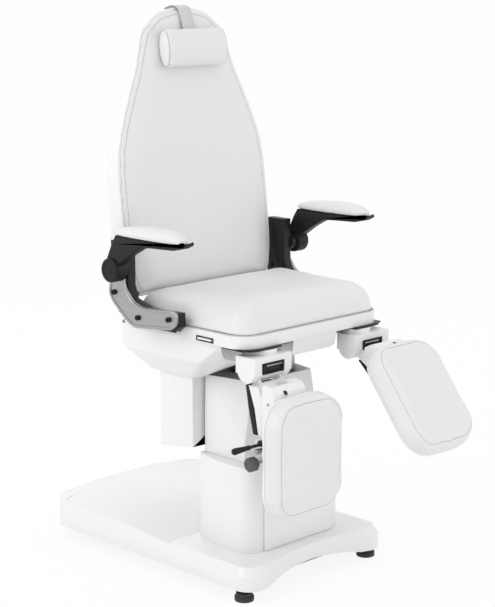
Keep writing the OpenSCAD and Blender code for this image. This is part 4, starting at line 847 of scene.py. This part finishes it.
# Backrest: hard shell, cushion, strap and roll
back = {"length": 805, "width": 580, "start": 26, "seam": -21, "shellDepth": 66, "crown": 13, "wall": 4,
        "profile": [(0, 0.845), (0.009, 0.907), (0.031, 0.938), (0.055, 0.959), (0.129, 0.99), (0.262, 1),
                    (0.414, 1), (0.455, 0.99), (0.519, 0.969), (0.59, 0.907), (0.634, 0.859), (0.698, 0.783),
                    (0.75, 0.717), (0.79, 0.669), (0.865, 0.603), (0.92, 0.545), (0.952, 0.441),
                    (0.983, 0.314), (1, 0.103)],
        "voxel": 6.0, "pressure": 3.0, "cap": 7, "seamInset": 18, "groove": (1.2, 2.4), "shadePipeLift": 0.1,
        "shadePipeRadius": 0.8}


def backOutline(count=90):
    table = [(w * back["width"] / 2, back["start"] + s * back["length"]) for s, w in back["profile"]]
    right = [(float(x), float(z)) for x, z in smoothTable(table, count)]
    return right + [(-x, z) for x, z in reversed(right)]


backEdge = backOutline()
backMiddle = back["start"] + back["length"] / 2


def backDepth(d, z, wall):
    if d <= 0:
        return d
    a = (z - back["start"]) / back["length"]
    return min(d * (1.25 + (0.55 - 1.25) * a), 0.24 * z + 38) - wall


def backRing(d, drawn, share, wall):
    out = []
    for x, z in inset(backEdge, drawn):
        z = backMiddle + (z - backMiddle) * (1 + share) / 2
        out.append(backFrame @ Vector((x * share, back["seam"] + backDepth(d, z, wall), z)))
    return out


def backShell():
    # outer and inner skin joined at the rim, with slots for the seat frame's ears
    depth = back["shellDepth"]
    outer = [(0, 1.2), (0.02, 0.3), (0.06, 0), (0.3, 0), (0.55, 0.4), (0.7, 1.0), (0.78, 2.2), (0.84, 4.4),
             (0.885, 7.5), (0.925, 11.5), (0.955, 16.5), (0.972, 22)]
    shrunk = [(0.972 + 0.028 * k / 3, 1 - 0.27 * k) for k in (1, 2, 3)]
    skin = [backRing(d * depth, drawn, 1, 0) for d, drawn in outer]
    skin += [backRing(d * depth, 22, share, 0) for d, share in shrunk]
    # a ledge round the rim carries the cushion's edge
    lining = [backRing(0, 16, 1, 0), backRing(2, 16, 1, 0)]
    lining += [backRing(d * depth, drawn + back["wall"], 1, back["wall"] * min(1, 3 * d)) for d, drawn in outer
               if d > 0.05]
    lining += [backRing(d * depth, 22 + back["wall"], share, back["wall"]) for d, share in shrunk]
    piece = skinned("backShellSkin", skin[::-1] + lining)
    bm = bmesh.new()
    for x0, x1 in ((-258.6, -249.4), (-5.6, 5.6), (249.4, 258.6)):
        solidBox(bm, (x0, back["seam"] - 1, -2), (x1, back["seam"] + 42, 76), backFrame)
    slots = fromBmesh("backShellSlots", bm)
    cutter = piece.modifiers.new("slots", "BOOLEAN")
    cutter.operation, cutter.solver, cutter.object = "DIFFERENCE", "EXACT", slots
    settled(piece)
    bpy.data.objects.remove(slots)
    return piece


dress(backShell(), "back", "cover_white", ("backrest_shell",), 40)
print("scene: backrest shell")


def backCushion():
    table = [(0, 3.4), (-1, 1.8), (-3, 0.9), (-6, 1.4), (-8, 4), (-9.4, 9), (-10.4, 18), (-11, 34)]
    loops = [backRing(d + 0.2, drawn + 0.8, 1, 0) for d, drawn in table]
    loops += [backRing(-11.2, 34, 0.6, 0), backRing(-11.4, 34, 0.25, 0)]
    piece = skinned("backCushion", loops)
    edgeDepth = back["seam"] - 1.2
    inflated(piece, back, lambda p: inFrame(p, backFrame)[:, 1] > edgeDepth, 8)

    def folds(x, y, z):
        face = np.clip((back["seam"] - 6 - y) / 4, 0, 1)
        low = np.exp(-((z - 120) / 90) ** 2)
        hollow = -3.5 * np.exp(-(x / 150) ** 2) * np.exp(-((z - 330) / 170) ** 2)
        waist = 2.2 * np.exp(-((z - 130) / 110) ** 2) * (1 - np.abs(x / 290) ** 2)
        pull = 0.8 * np.sin(x / 37.0 + z / 90.0) * low * np.exp(-((np.abs(x) - 170) / 70) ** 2)
        return face * (hollow + waist + pull)

    pressed(piece, backFrame, folds)
    return piece


cushionPiece = backCushion()
dress(cushionPiece, "back", "vinyl", ("backrest_cushion",), 60)
backPath = put(backFrame, [(x, back["seam"] - 12, z) for x, z in inset(backEdge, back["seamInset"])])
# the back seam gets a dark pipe in its groove: painted shade of the seam line
seamWithShadePipe("backWelt", cushionPiece, backPath, back, "back")
print("scene: backrest cushion")

strap = {"width": 48, "thick": 1.6, "low": 670, "rearLow": 0.9, "loop": 7.5}


def headStrap():
    # from behind the roll straight to the top edge, loosely over it and down the rear of the shell
    front = back["seam"] - back["crown"] - 0.9
    top, loop = back["start"] + back["length"], strap["loop"]
    rear = back["seam"] + back["shellDepth"] * 0.8
    rearLow = back["start"] + strap["rearLow"] * back["length"]
    knots = [(front, strap["low"]), (front - 0.5, 700), (front - 1, 728), (front - 6, 750), (front - 14, 764),
             (front - 13, 781), (front - 8, 800), (front - 4, 814), (front + 4, 830),
             (front + 18, top + loop * 0.85), (front + 34, top + loop), (front + 50, top + loop * 0.7),
             (rear - 8, top + 1), (rear - 1, top - 14), (rear + 1, top - 40), (rear - 2, rearLow)]
    line = smoothTable(knots, 120)
    loops = []
    half, thick = strap["width"] / 2, strap["thick"] / 2
    for i, (d, s) in enumerate(line):
        a, b = line[max(0, i - 1)], line[min(len(line) - 1, i + 1)]
        along = (b - a) / max(1e-9, np.linalg.norm(b - a))
        out = np.array([-along[1], along[0]])
        section = [(-half, -thick * 0.5), (-half + 0.6, -thick), (half - 0.6, -thick), (half, -thick * 0.5),
                   (half, thick * 0.5), (half - 0.6, thick), (-half + 0.6, thick), (-half, thick * 0.5)]
        loops.append(put(backFrame, [(x, d + out[0] * t, s + out[1] * t) for x, t in section]))
    return skinned("headStrapWeb", loops)


dress(headStrap(), "back", "strap_web", ("headrest_strap",), 50)

roll = {"length": 238, "height": 118, "depth": 52, "d": -62.3, "s": 714.3, "voxel": 4.2, "pressure": 4.0, "cap": 3,
        "groove": (0.9, 1.8), "shadePipeLift": 0.3, "shadePipeRadius": 0.9}


def headRoll():
    # an oval roll with flat end caps and a pressed seam round each cap, with a dark pipe in it as painted shade of the
    # seam
    bm = bmesh.new()
    high, deep, l = roll["height"] / 2 - 2.2, roll["depth"] / 2 - 1.6, roll["length"] / 2 - 0.5
    profile = [(-l, 0.30), (-l - 0.3, 0.62), (-l, 0.88), (-l + 1.5, 0.945), (-l + 5, 0.975), (-l + 14, 0.99),
               (-l + 34, 1), (0, 1), (l - 34, 1), (l - 14, 0.99), (l - 5, 0.975), (l - 1.5, 0.945), (l, 0.88),
               (l + 0.3, 0.62), (l, 0.30)]
    placed = backFrame @ Matrix.Translation((0, roll["d"], roll["s"]))
    turned(bm, [tuple(p) for p in smoothTable(profile, 60)], placed @ Matrix.Diagonal((1, deep, high, 1)), 72)
    piece = fromBmesh("headRoll", bm)
    inflated(piece, roll, lambda p: np.zeros(len(p), bool), 4)

    def folds(x, y, z):
        angle = np.arctan2(z / high, y / deep)
        end = np.exp(-((np.abs(x) - l + 14) / 12) ** 2)
        return 0.5 * np.sin(angle * 10 + np.sign(x)) * end - 0.6 * np.exp(-((angle - 2.2) / 0.12) ** 2)

    pressed(piece, placed, folds)
    for sx in (-1, 1):
        ring = [placed @ Vector((sx * (l - 3), deep * 0.97 * math.cos(a), high * 0.97 * math.sin(a)))
                for a in np.linspace(0, 2 * math.pi, 96, endpoint=False)]
        seamWithShadePipe("rollWelt" + ("Left" if sx > 0 else "Right"), piece, ring, roll, "headrest")
    return piece


rollPiece = headRoll()
dress(rollPiece, "headrest", "vinyl", ("headrest_roll",), 60)
print("scene: strap and roll")

# Leg pads
legPad = {"x": 174, "width": 270, "length": 338, "plane": -101, "depth": 66, "top": -56, "corner": 82,
          "drawIn": 34, "cradle": 20, "flat": 0.72, "shrink": 2.0, "voxel": 4.6, "pressure": 4.0, "cap": 6,
          "groove": (1.7, 2.2), "shadePipeLift": 0.1, "shadePipeRadius": 0.7,
          "shares": [(0.147, 0), (0.029, 0.082), (0, 0.197), (0, 0.46), (0.03, 0.62), (0.12, 0.74), (0.27, 0.84),
                     (0.46, 0.91), (0.64, 0.96), (1, 1)]}


def legPadPiece(side):
    hw, hl = legPad["width"] / 2, legPad["length"] / 2
    base = legFrame(side) @ Matrix.Translation((legPad["x"], legPad["plane"], legPad["top"] - hl))
    loops = []
    for drawn, share in smoothTable(legPad["shares"], 30):
        t = max(0, drawn) * legPad["drawIn"] + legPad["shrink"]
        face = max(0, share - legPad["flat"]) / (1 - legPad["flat"])
        loops.append([base @ Vector((x * (1 - 0.03 * (y / hl) ** 4), legPad["cradle"] * face * (1 - (x / hw) ** 2)
                                     - max(0, share) * (legPad["depth"] - legPad["shrink"] - 5 * (y / hl) ** 2), y))
                      for x, y in roundOutline(hw - t, hl - t, legPad["corner"] - t)])
    for share in (0.7, 0.35):
        loops.append([base @ Vector((x * share, legPad["cradle"] * (1 - (x * share / hw) ** 2)
                                     - legPad["depth"] + legPad["shrink"] + 5 * (y * share / hl) ** 2, y * share))
                      for x, y in roundOutline(hw - 36, hl - 36, legPad["corner"] - 36)])
    piece = skinned("legPadCover_" + side, loops)
    inflated(piece, legPad, lambda p: inFrame(p, base)[:, 1] > -3, 5)
    phase = 0.0 if side == "left" else 1.3

    def folds(x, y, z):
        face = np.clip((-y - 42) / 8, 0, 1)
        inner = np.clip(1.25 - np.abs(x / hw) ** 3 - np.abs(z / hl) ** 6, 0, 1)
        wave = (3.0 * np.exp(-((x + 26 + 8 * np.sin(z / 60 + phase)) / 9) ** 2)
                - 2.6 * np.exp(-((x - 4 + 10 * np.sin(z / 75 + phase)) / 10) ** 2)
                + 2.0 * np.exp(-((x - 37 + 6 * np.sin(z / 52 - phase)) / 9) ** 2))
        ends = np.exp(-((np.abs(z) - hl + 42) / 26) ** 2) * np.sin(x / 11.0 + phase) * 0.7
        return face * inner * (wave * np.exp(-(z / 120) ** 2) + ends)

    pressed(piece, base, folds)
    seam = [base @ Vector((x, -53 - 5 * (1 - (y / hl) ** 2), y))
            for x, y in roundOutline(hw - 15, hl - 15, legPad["corner"] - 15, 16, 24)]
    # the pad's seam gets a dark pipe in its groove: painted shade of the seam line
    seamWithShadePipe("legPadWelt_" + side, piece, seam, legPad, "rest_" + side)
    dress(piece, "rest_" + side, "vinyl", ("leg_pad_" + side,), 60)


for side in sides:
    legPadPiece(side)
print("scene: leg pads")

# Arm pads and the black arms under them
armPad = {"x": 365, "length": 291, "width": 74, "height": 40, "front": -54, "lift": 243, "voxel": 4.0,
          "pressure": 4.0, "cap": 4}


def armPadPiece(side):
    base = sideFrame(atSeat, side) @ Matrix.Translation((armPad["x"], armPad["front"] + armPad["length"] / 2,
                                                         armPad["lift"]))
    half, hw, high = armPad["length"] / 2 - 1.5, armPad["width"] / 2 - 1.5, armPad["height"] - 1.5
    loops = []
    for t in np.linspace(-0.995, 0.995, 60):
        wide = hw * (1 - abs(t) ** 3.2) ** 0.5
        rise = 2.5 * abs(t) ** 3
        tall = (high - 6 * t - 6) * (1 - abs(t) ** 2.8) ** 0.62 + 1.2
        section = []
        for k in range(28):
            across, up = math.cos(2 * math.pi * k / 28), math.sin(2 * math.pi * k / 28)
            z = tall * (0.30 + 0.70 * up ** 0.9) if up > 0 else tall * 0.30 * (1 + up * 0.97)
            section.append((wide * math.copysign(abs(across) ** 0.78, across), t * half, rise + z))
        loops.append(put(base, section))
    piece = skinned("armPadCover_" + side, loops)
    floor = (base @ Vector((0, 0, 2.5))).z
    inflated(piece, armPad, lambda p: p[:, 2] < floor, 5)
    seam = put(base, [(x, y, 8) for x, y in roundOutline(hw, half, hw - 2, 14, 24)])
    grooved(piece, onto(piece, seam, 0.05), 0.9, 1.8)
    dress(piece, "arm_" + side, "vinyl", ("arm_pad_" + side,), 60)


arm = {"inside": 345, "thick": 33, "hubOut": 386, "hubRadius": 34, "pivotY": 240, "pivotUp": 143, "edge": 5,
       "outline": [(-4, 77), (-19, 100), (-292, 100), (-297, 106), (-304, 109), (-290, 92), (-250, 83), (-160, 79),
                   (-126, 76), (-76, 49), (-28, 16), (0, -20), (34, 0)],
       "corners": [14, 5, 8, 2, 2, 20, 40, 60, 40, 60, 30, 14, 14]}


def armPiece(side):
    base = sideFrame(atSeat, side) @ Matrix.Translation((0, arm["pivotY"], arm["pivotUp"]))
    bm = bmesh.new()
    plateBetween(bm, filleted(arm["outline"], arm["corners"]), arm["inside"], arm["inside"] + arm["thick"],
                 arm["edge"], base, 4)
    x0, x1, r = arm["inside"] - 0.2, arm["hubOut"], arm["hubRadius"]
    turned(bm, [(x0, r - 3), (x0 + 0.9, r - 0.9), (x0 + 3, r), (x1 - 9, r), (x1 - 8.4, r - 1), (x1 - 7, r - 1),
                (x1 - 6.4, r), (x1 - 3, r - 0.6), (x1 - 0.9, r - 2.6), (x1, r - 6), (x1, r - 10), (x1 - 1.2, r - 11),
                (x1 - 1.2, 9), (x1 - 0.2, 8), (x1 - 0.2, 0.5)], base)
    piece = fromBmesh("armBody_" + side, bm)
    dress(piece, "arm_" + side, "black_plastic", ("armrest_" + side,), 45)


for side in sides:
    armPadPiece(side)
    armPiece(side)
print("scene: armrests")

# Silver side plates with a raised rim, on the black brackets
plate = {"inside": 325, "thick": 12, "rim": 8, "sunk": 2.6,
         "outline": [(297, 97), (302, 65), (285, 42), (226, -7), (193, -19), (47, -4), (23, 10), (23, 44), (43, 52),
                     (162, 42), (206, 56), (234, 91), (236, 116), (297, 116)],
         "corners": [30, 60, 60, 90, 60, 22, 20, 20, 24, 70, 60, 60, 5, 5]}


def sidePlates():
    outline = filleted(plate["outline"], plate["corners"], 9)
    bm = bmesh.new()
    x0, x1 = plate["inside"], plate["inside"] + plate["thick"]
    steps = [(x0, 1.2), (x0 + 1.2, 0), (x1 - 4, 0), (x1 - 2.4, 0.35), (x1 - 1.1, 1.3), (x1 - 0.3, 2.7), (x1, 4.2),
             (x1, plate["rim"]), (x1 - 0.4, plate["rim"] + 0.5), (x1 - plate["sunk"], plate["rim"] + 1.2),
             (x1 - plate["sunk"], plate["rim"] + 3)]
    for side in sides:
        base = sideFrame(atSeat, side)
        rings(bm, [[base @ Vector((x, y, z)) for y, z in inset(outline, drawn)] for x, drawn in steps])
    return fromBmesh("sidePlates", bm)


dress(sidePlates(), "seat", "silver_plate", ("bracket_covers",), 40)


def socketScrew(name, head, length, recess):
    # a screw along +X with a hexagon recess in its round-edged head
    loops = []
    for x, r in ((0, head), (length - 1.4, head), (length - 0.5, head - 0.5), (length, head - 1.6)):
        loops.append([(x, r * math.cos(math.pi * i / 24), r * math.sin(math.pi * i / 24)) for i in range(48)])
    for x in (length, length - 2.6):
        row = []
        for i in range(48):
            a = math.pi * i / 24
            flat = recess * math.cos(math.pi / 6) / math.cos((a % (math.pi / 3)) - math.pi / 6)
            row.append((x, flat * math.cos(a), flat * math.sin(a)))
        loops.append(row)
    return skinned(name, [[Vector(p) * mm for p in loop] for loop in loops])


def screwSet(name, spots, head, length, recess, body, slot, replaced=()):
    pattern = socketScrew("screwPattern", head, length, recess)
    mesh = bpy.data.meshes.new(name)
    mesh.from_pydata([tuple(p) for p, _ in spots], [], [])
    facing = mesh.attributes.new("facing", "FLOAT_VECTOR", "POINT")
    for i, (_, direction) in enumerate(spots):
        facing.data[i].vector = direction
    piece = linked(name, mesh)
    screws.grow(piece, {"Screw": pattern, "Finish": finishes[slot]})
    bpy.data.objects.remove(pattern)
    return dress(piece, body, slot, replaced, 40)


plateBolts = {"x": 335.6, "spots": ((277, 71), (178, 12), (52, 25)), "head": 7.5, "length": 6, "recess": 3.6}
screwSet("bracketScrews", [(sideFrame(atSeat, side) @ Vector((plateBolts["x"], y, z)), (sides[side], 0, 0))
                           for side in sides for y, z in plateBolts["spots"]],
         plateBolts["head"], plateBolts["length"], plateBolts["recess"], "seat", "black_metal", ("bracket_bolts",))


def bracketShape(p):
    # the brackets' inner faces stand further out than on the plain solids
    if abs(p.x) < 293 * mm:
        p.x = math.copysign(299 * mm, p.x)


softened("arm_brackets", 2.2, 3, reshape=bracketShape)
print("scene: side plates and brackets")

# Leg rests: knuckle with its window and bar, lever, grip, clamp and knob
knuckle = {"windowX": (166, 236), "windowZ": (-8, 20.8), "frameY": (-36, -31.4), "paneY": (-32.6, -31),
           "barY": -34.2, "barZ": 13.5}


def knuckleTrim(side):
    base = legFrame(side, False)
    (x0, x1), (z0, z1), (y0, y1) = knuckle["windowX"], knuckle["windowZ"], knuckle["frameY"]
    bm = bmesh.new()
    solidBox(bm, (x0, knuckle["paneY"][0], z0), (x1, knuckle["paneY"][1], z1), base)
    for (xa, za), (xb, zb) in (((x0 - 4, z1 - 3.5), (x1 + 4, z1 + 1)), ((x0 - 4, z0 - 1), (x1 + 4, z0 + 3)),
                               ((x0 - 4, z0), (x0 + 1, z1)), ((x1 - 1, z0), (x1 + 4, z1))):
        solidBox(bm, (xa, y0, za), (xb, y1, zb), base)
    frameBox = bevelled(fromBmesh("knuckleWindow_" + side, bm, False), 0.7 * mm, 2)
    bm = bmesh.new()
    bm.from_mesh(frameBox.data)
    bmesh.ops.recalc_face_normals(bm, faces=bm.faces)
    bm.to_mesh(frameBox.data)
    bm.free()
    dress(frameBox, "knuckle_" + side, "black_plastic", angle=40)
    bar = [(x0 + 2, 0.5), (x0 + 2, 1.7), (x0 + 2.8, 2.3), (x1 - 9, 2.3), (x1 - 8, 1.7), (x1 - 8, 0.5)]
    barAxis = base @ Matrix.Translation((0, knuckle["barY"], knuckle["barZ"]))
    lathed("knuckleBar_" + side, [(bar, barAxis, 24)], "knuckle_" + side, "bolt_steel")
    softened("leg_knuckle_" + side, 5, 4)


clampSizes = {"shellOut": 258, "y": -62, "boltZ": -203, "leverZ": -186, "leverX": 272, "knobZ": -234,
              "knobX": (300, 324), "lobes": 8, "lobeRadius": 5.2, "lobeSides": 20, "knobRadius": 20,
              "screwY": -70, "screwZ": (-80, -300), "keyhole": (216, -94.0, -50.9), "keyTurn": -43,
              "grip": [(318.6, 4.6), (318.9, 6.0), (320.5, 6.6), (330, 6.4), (340, 6.9), (352, 7.8), (364, 8.7),
                       (372, 9.0), (377, 8.4), (379.6, 6.2), (380.4, 3.0), (380.5, 0.4)]}


def clampSet(side):
    leg, body = legFrame(side), "rest_" + side
    c = clampSizes
    x, lever, (x0, x1), core = c["shellOut"], c["leverX"], c["knobX"], c["knobRadius"] - 0.8
    boltAxis, leverAxis, knobAxis = (leg @ Matrix.Translation((0, c["y"], c[height]))
                                     for height in ("boltZ", "leverZ", "knobZ"))
    bolt = [(x - 1, 4), (x - 1, 9), (x + 0.6, 9.4), (x + 1.8, 9), (x + 2, 6.2), (x + 24, 6.2), (x + 24.6, 7.4),
            (x + 27, 7.4), (x + 27.6, 6), (x + 29.6, 6), (x + 30, 6.9), (x + 36.6, 6.9), (x + 37.8, 5.6), (x + 38, 0.4)]
    lathed("clampBoltTurned_" + side, [(bolt, boltAxis, 32)], body, "bolt_steel", ("clamp_bolt_" + side,))
    upright = leg @ Matrix.Translation((lever, c["y"], c["leverZ"])) @ Matrix.Rotation(math.pi / 2, 4, "Z")
    hub = [(-10, 4.2), (-10, 7), (-9, 8), (9, 8), (10, 7), (10, 4.2)]
    rod = [(lever, 5), (lever + 12, 5), (lever + 16, 4.4), (316, 4.4), (318, 5), (340, 5), (341, 4)]
    lathed("leverRod_" + side, [(hub, upright, 32), (rod, leverAxis, 24)], "lever_" + side, "black_metal",
           ("release_lever_" + side,))
    lathed("leverGrip_" + side, [([tuple(p) for p in smoothTable(c["grip"], 36)], leverAxis, 32)], "lever_" + side,
           "black_plastic", ("lever_grip_" + side,), 50)
    knob = [(x0, 6), (x0, core - 2), (x0 + 1.6, core - 0.4), (x0 + 3, core), (x1 - 5, core), (x1 - 2.6, core - 1.2),
            (x1 - 1, core - 3.4), (x1 - 0.2, core - 6.5), (x1, core - 9), (x1 - 0.6, core - 9.8), (x1 - 0.6, 0.4)]
    lathed("knobCore_" + side, [(knob, knobAxis, 40)], "knob_" + side, "knob_grey")
    lobes = pathObject("knobLobes_" + side, put(knobAxis, [((x0 + x1 - 3) / 2, 0, 0)]), False)
    wheels.grow(lobes, {"Count": c["lobes"], "Reach": (c["knobRadius"] - c["lobeRadius"]) * mm,
                        "Piece radius": c["lobeRadius"] * mm, "Piece length": (x1 - x0 - 3) * mm,
                        "Vertices": c["lobeSides"], "Finish": finishes["knob_grey"]})
    bevelled(lobes, 1.2 * mm, 3, 40)
    dress(lobes, "knob_" + side, "knob_grey", ("clamp_knob_" + side,), 40)
    stem = [(x - 4, 5), (x0 - 9, 5), (x0 - 8.6, 7.4), (x0 - 2, 7.4), (x0 - 1.6, 6.4), (x0 + 0.5, 6.4)]
    lathed("knobStem_" + side, [(stem, knobAxis, 32)], "knob_" + side, "bolt_steel")
    spots = [(leg @ Vector((x - 0.6, c["screwY"], z)), (sides[side], 0, 0)) for z in c["screwZ"]]
    screwSet("shellScrews_" + side, spots, 4.2, 2.2, 2.0, body, "bolt_steel")
    # small keyhole in the moulding above the pad, drawn as a thin black plate on the surface: its black is painted
    # shade for the hole's dark inside
    turns = np.linspace(0, 2 * math.pi, 36, endpoint=False)
    hole = [(6 * math.cos(a) * (1 + 0.3 * math.sin(a)), 7.5 * math.sin(a)) for a in turns]
    slope = leg @ Matrix.Translation(c["keyhole"]) @ Matrix.Rotation(math.radians(c["keyTurn"]), 4, "X")
    keyhole = skinned("shellKeyhole_" + side, [put(slope, [(px * share, depth, pz * share) for px, pz in hole])
                                               for depth, share in ((0.6, 1), (-0.5, 1), (-0.8, 0.93))])
    dress(keyhole, body, "black_plastic", angle=40)


for side in sides:
    knuckleTrim(side)
    clampSet(side)
    softened("leg_strut_" + side, 1.6, 2)
    softened("strut_cover_" + side, 1.2, 2)
    softened("leg_shell_" + side, 4.0, 3)
    softened("swivel_pin_" + side, 0.6, 1)
    softened("pad_board_" + side, 1.5, 2)
print("scene: leg rests")

# Rocker switch with its bezel, in the trim on the patient's right
switch = {"y": -36, "length": 52, "height": 5.4, "up": -23, "face": 283}


def rockerPiece():
    base = mirrorX @ atSeat @ Matrix.Translation((0, switch["y"], switch["up"]))
    loops = []
    half = switch["length"] / 2
    for t in np.linspace(-1, 1, 25):
        out = switch["face"] + 1.0 + 2.6 * abs(t) ** 1.5
        h = switch["height"] / 2 - (0.6 if abs(t) > 0.97 else 0)
        loops.append([base @ Vector(p) for p in ((switch["face"] - 3, t * half, -h), (out - 0.6, t * half, -h),
                                                 (out, t * half, -h + 0.7), (out, t * half, h - 0.7),
                                                 (out - 0.6, t * half, h), (switch["face"] - 3, t * half, h))])
    return skinned("rockerPaddle", loops)


dress(rockerPiece(), "rocker", "trim_white", ("rocker_switch",), 40)

# Hard parts that keep their CAD shape, with their edges broken: nodes by bevel width and segments
feet = ["levelling_foot_" + end + "_" + side for end in ("front", "rear") for side in sides]
for (width, segments), nodes in {
    (3.2, 3): ["base_cover"], (2.0, 2): ["lower_column_cover"], (2.2, 3): ["column_front_panel"],
    (2.6, 3): ["seat_lip"], (0.5, 2): ["switch_bezel"], (0.8, 2): ["mains_inlet"],
    (1.2, 2): ["swivel_plates", "seat_board", "column_outer_tube", "column_middle_tube", "column_inner_tube"],
    (1.5, 2): ["base_frame", "seat_frame", "back_actuator_body"],
    (1.0, 2): ["backrest_frame", "lift_actuator_body"], (0.6, 1): ["lift_actuator_rod", "back_actuator_rod"],
    (1.5, 3): feet,
}.items():
    for node in nodes:
        softened(node, width, segments)

# Covers whose shape is nudged towards the photo, by millimetres
covers = {"band": 6, "hoodUp": 17, "bellyDown": 9, "housingBand": 60, "housingDrop": (13, 19),
          "flangeX": (138, 172), "flangeY": (115.4, 119), "flangeZ": (364, 600)}
hoodTop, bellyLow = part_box("column_hood")[1].z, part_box("underside_shell")[0].z
housingLow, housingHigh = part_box("rear_housing")


def hoodShape(p):
    if p.z > hoodTop - covers["band"] * mm:
        p.z += covers["hoodUp"] * mm


def bellyShape(p):
    if p.z < bellyLow + covers["band"] * mm:
        p.z -= covers["bellyDown"] * mm


def housingShape(p):
    # the lower edge stands higher in front and falls towards the rear
    down = max(0, 1 - (p.z - housingLow.z) / (covers["housingBand"] * mm))
    along = (p.y - housingLow.y) / (housingHigh.y - housingLow.y)
    lift, fall = covers["housingDrop"]
    p.z += down * (lift - fall * along) * mm


softened("column_hood", 3.0, 3, 8, 12, hoodShape)
softened("underside_shell", 5.0, 4, reshape=bellyShape)
bm = bmesh.new()
(flangeIn, flangeOut), (y0, y1), (z0, z1) = covers["flangeX"], covers["flangeY"], covers["flangeZ"]
for xa, xb in ((-flangeOut, -flangeIn), (flangeIn, flangeOut)):
    solidBox(bm, (xa, y0, z0), (xb, y1, z1), atColumn)
dress(fromBmesh("housingFlange", bm), "seat", "cover_white", angle=40)
softened("rear_housing", 4.0, 3, reshape=housingShape)
print("scene: covers, frames and feet")

shownNodes = [node for node, obj in frame["nodes"].items() if not obj.hide_render]
for node in shownNodes:
    obj = frame["nodes"][node]
    obj.data.materials.clear()
    obj.data.materials.append(finishes[slotOf[node]])
print("scene: CAD nodes still shown:", shownNodes)
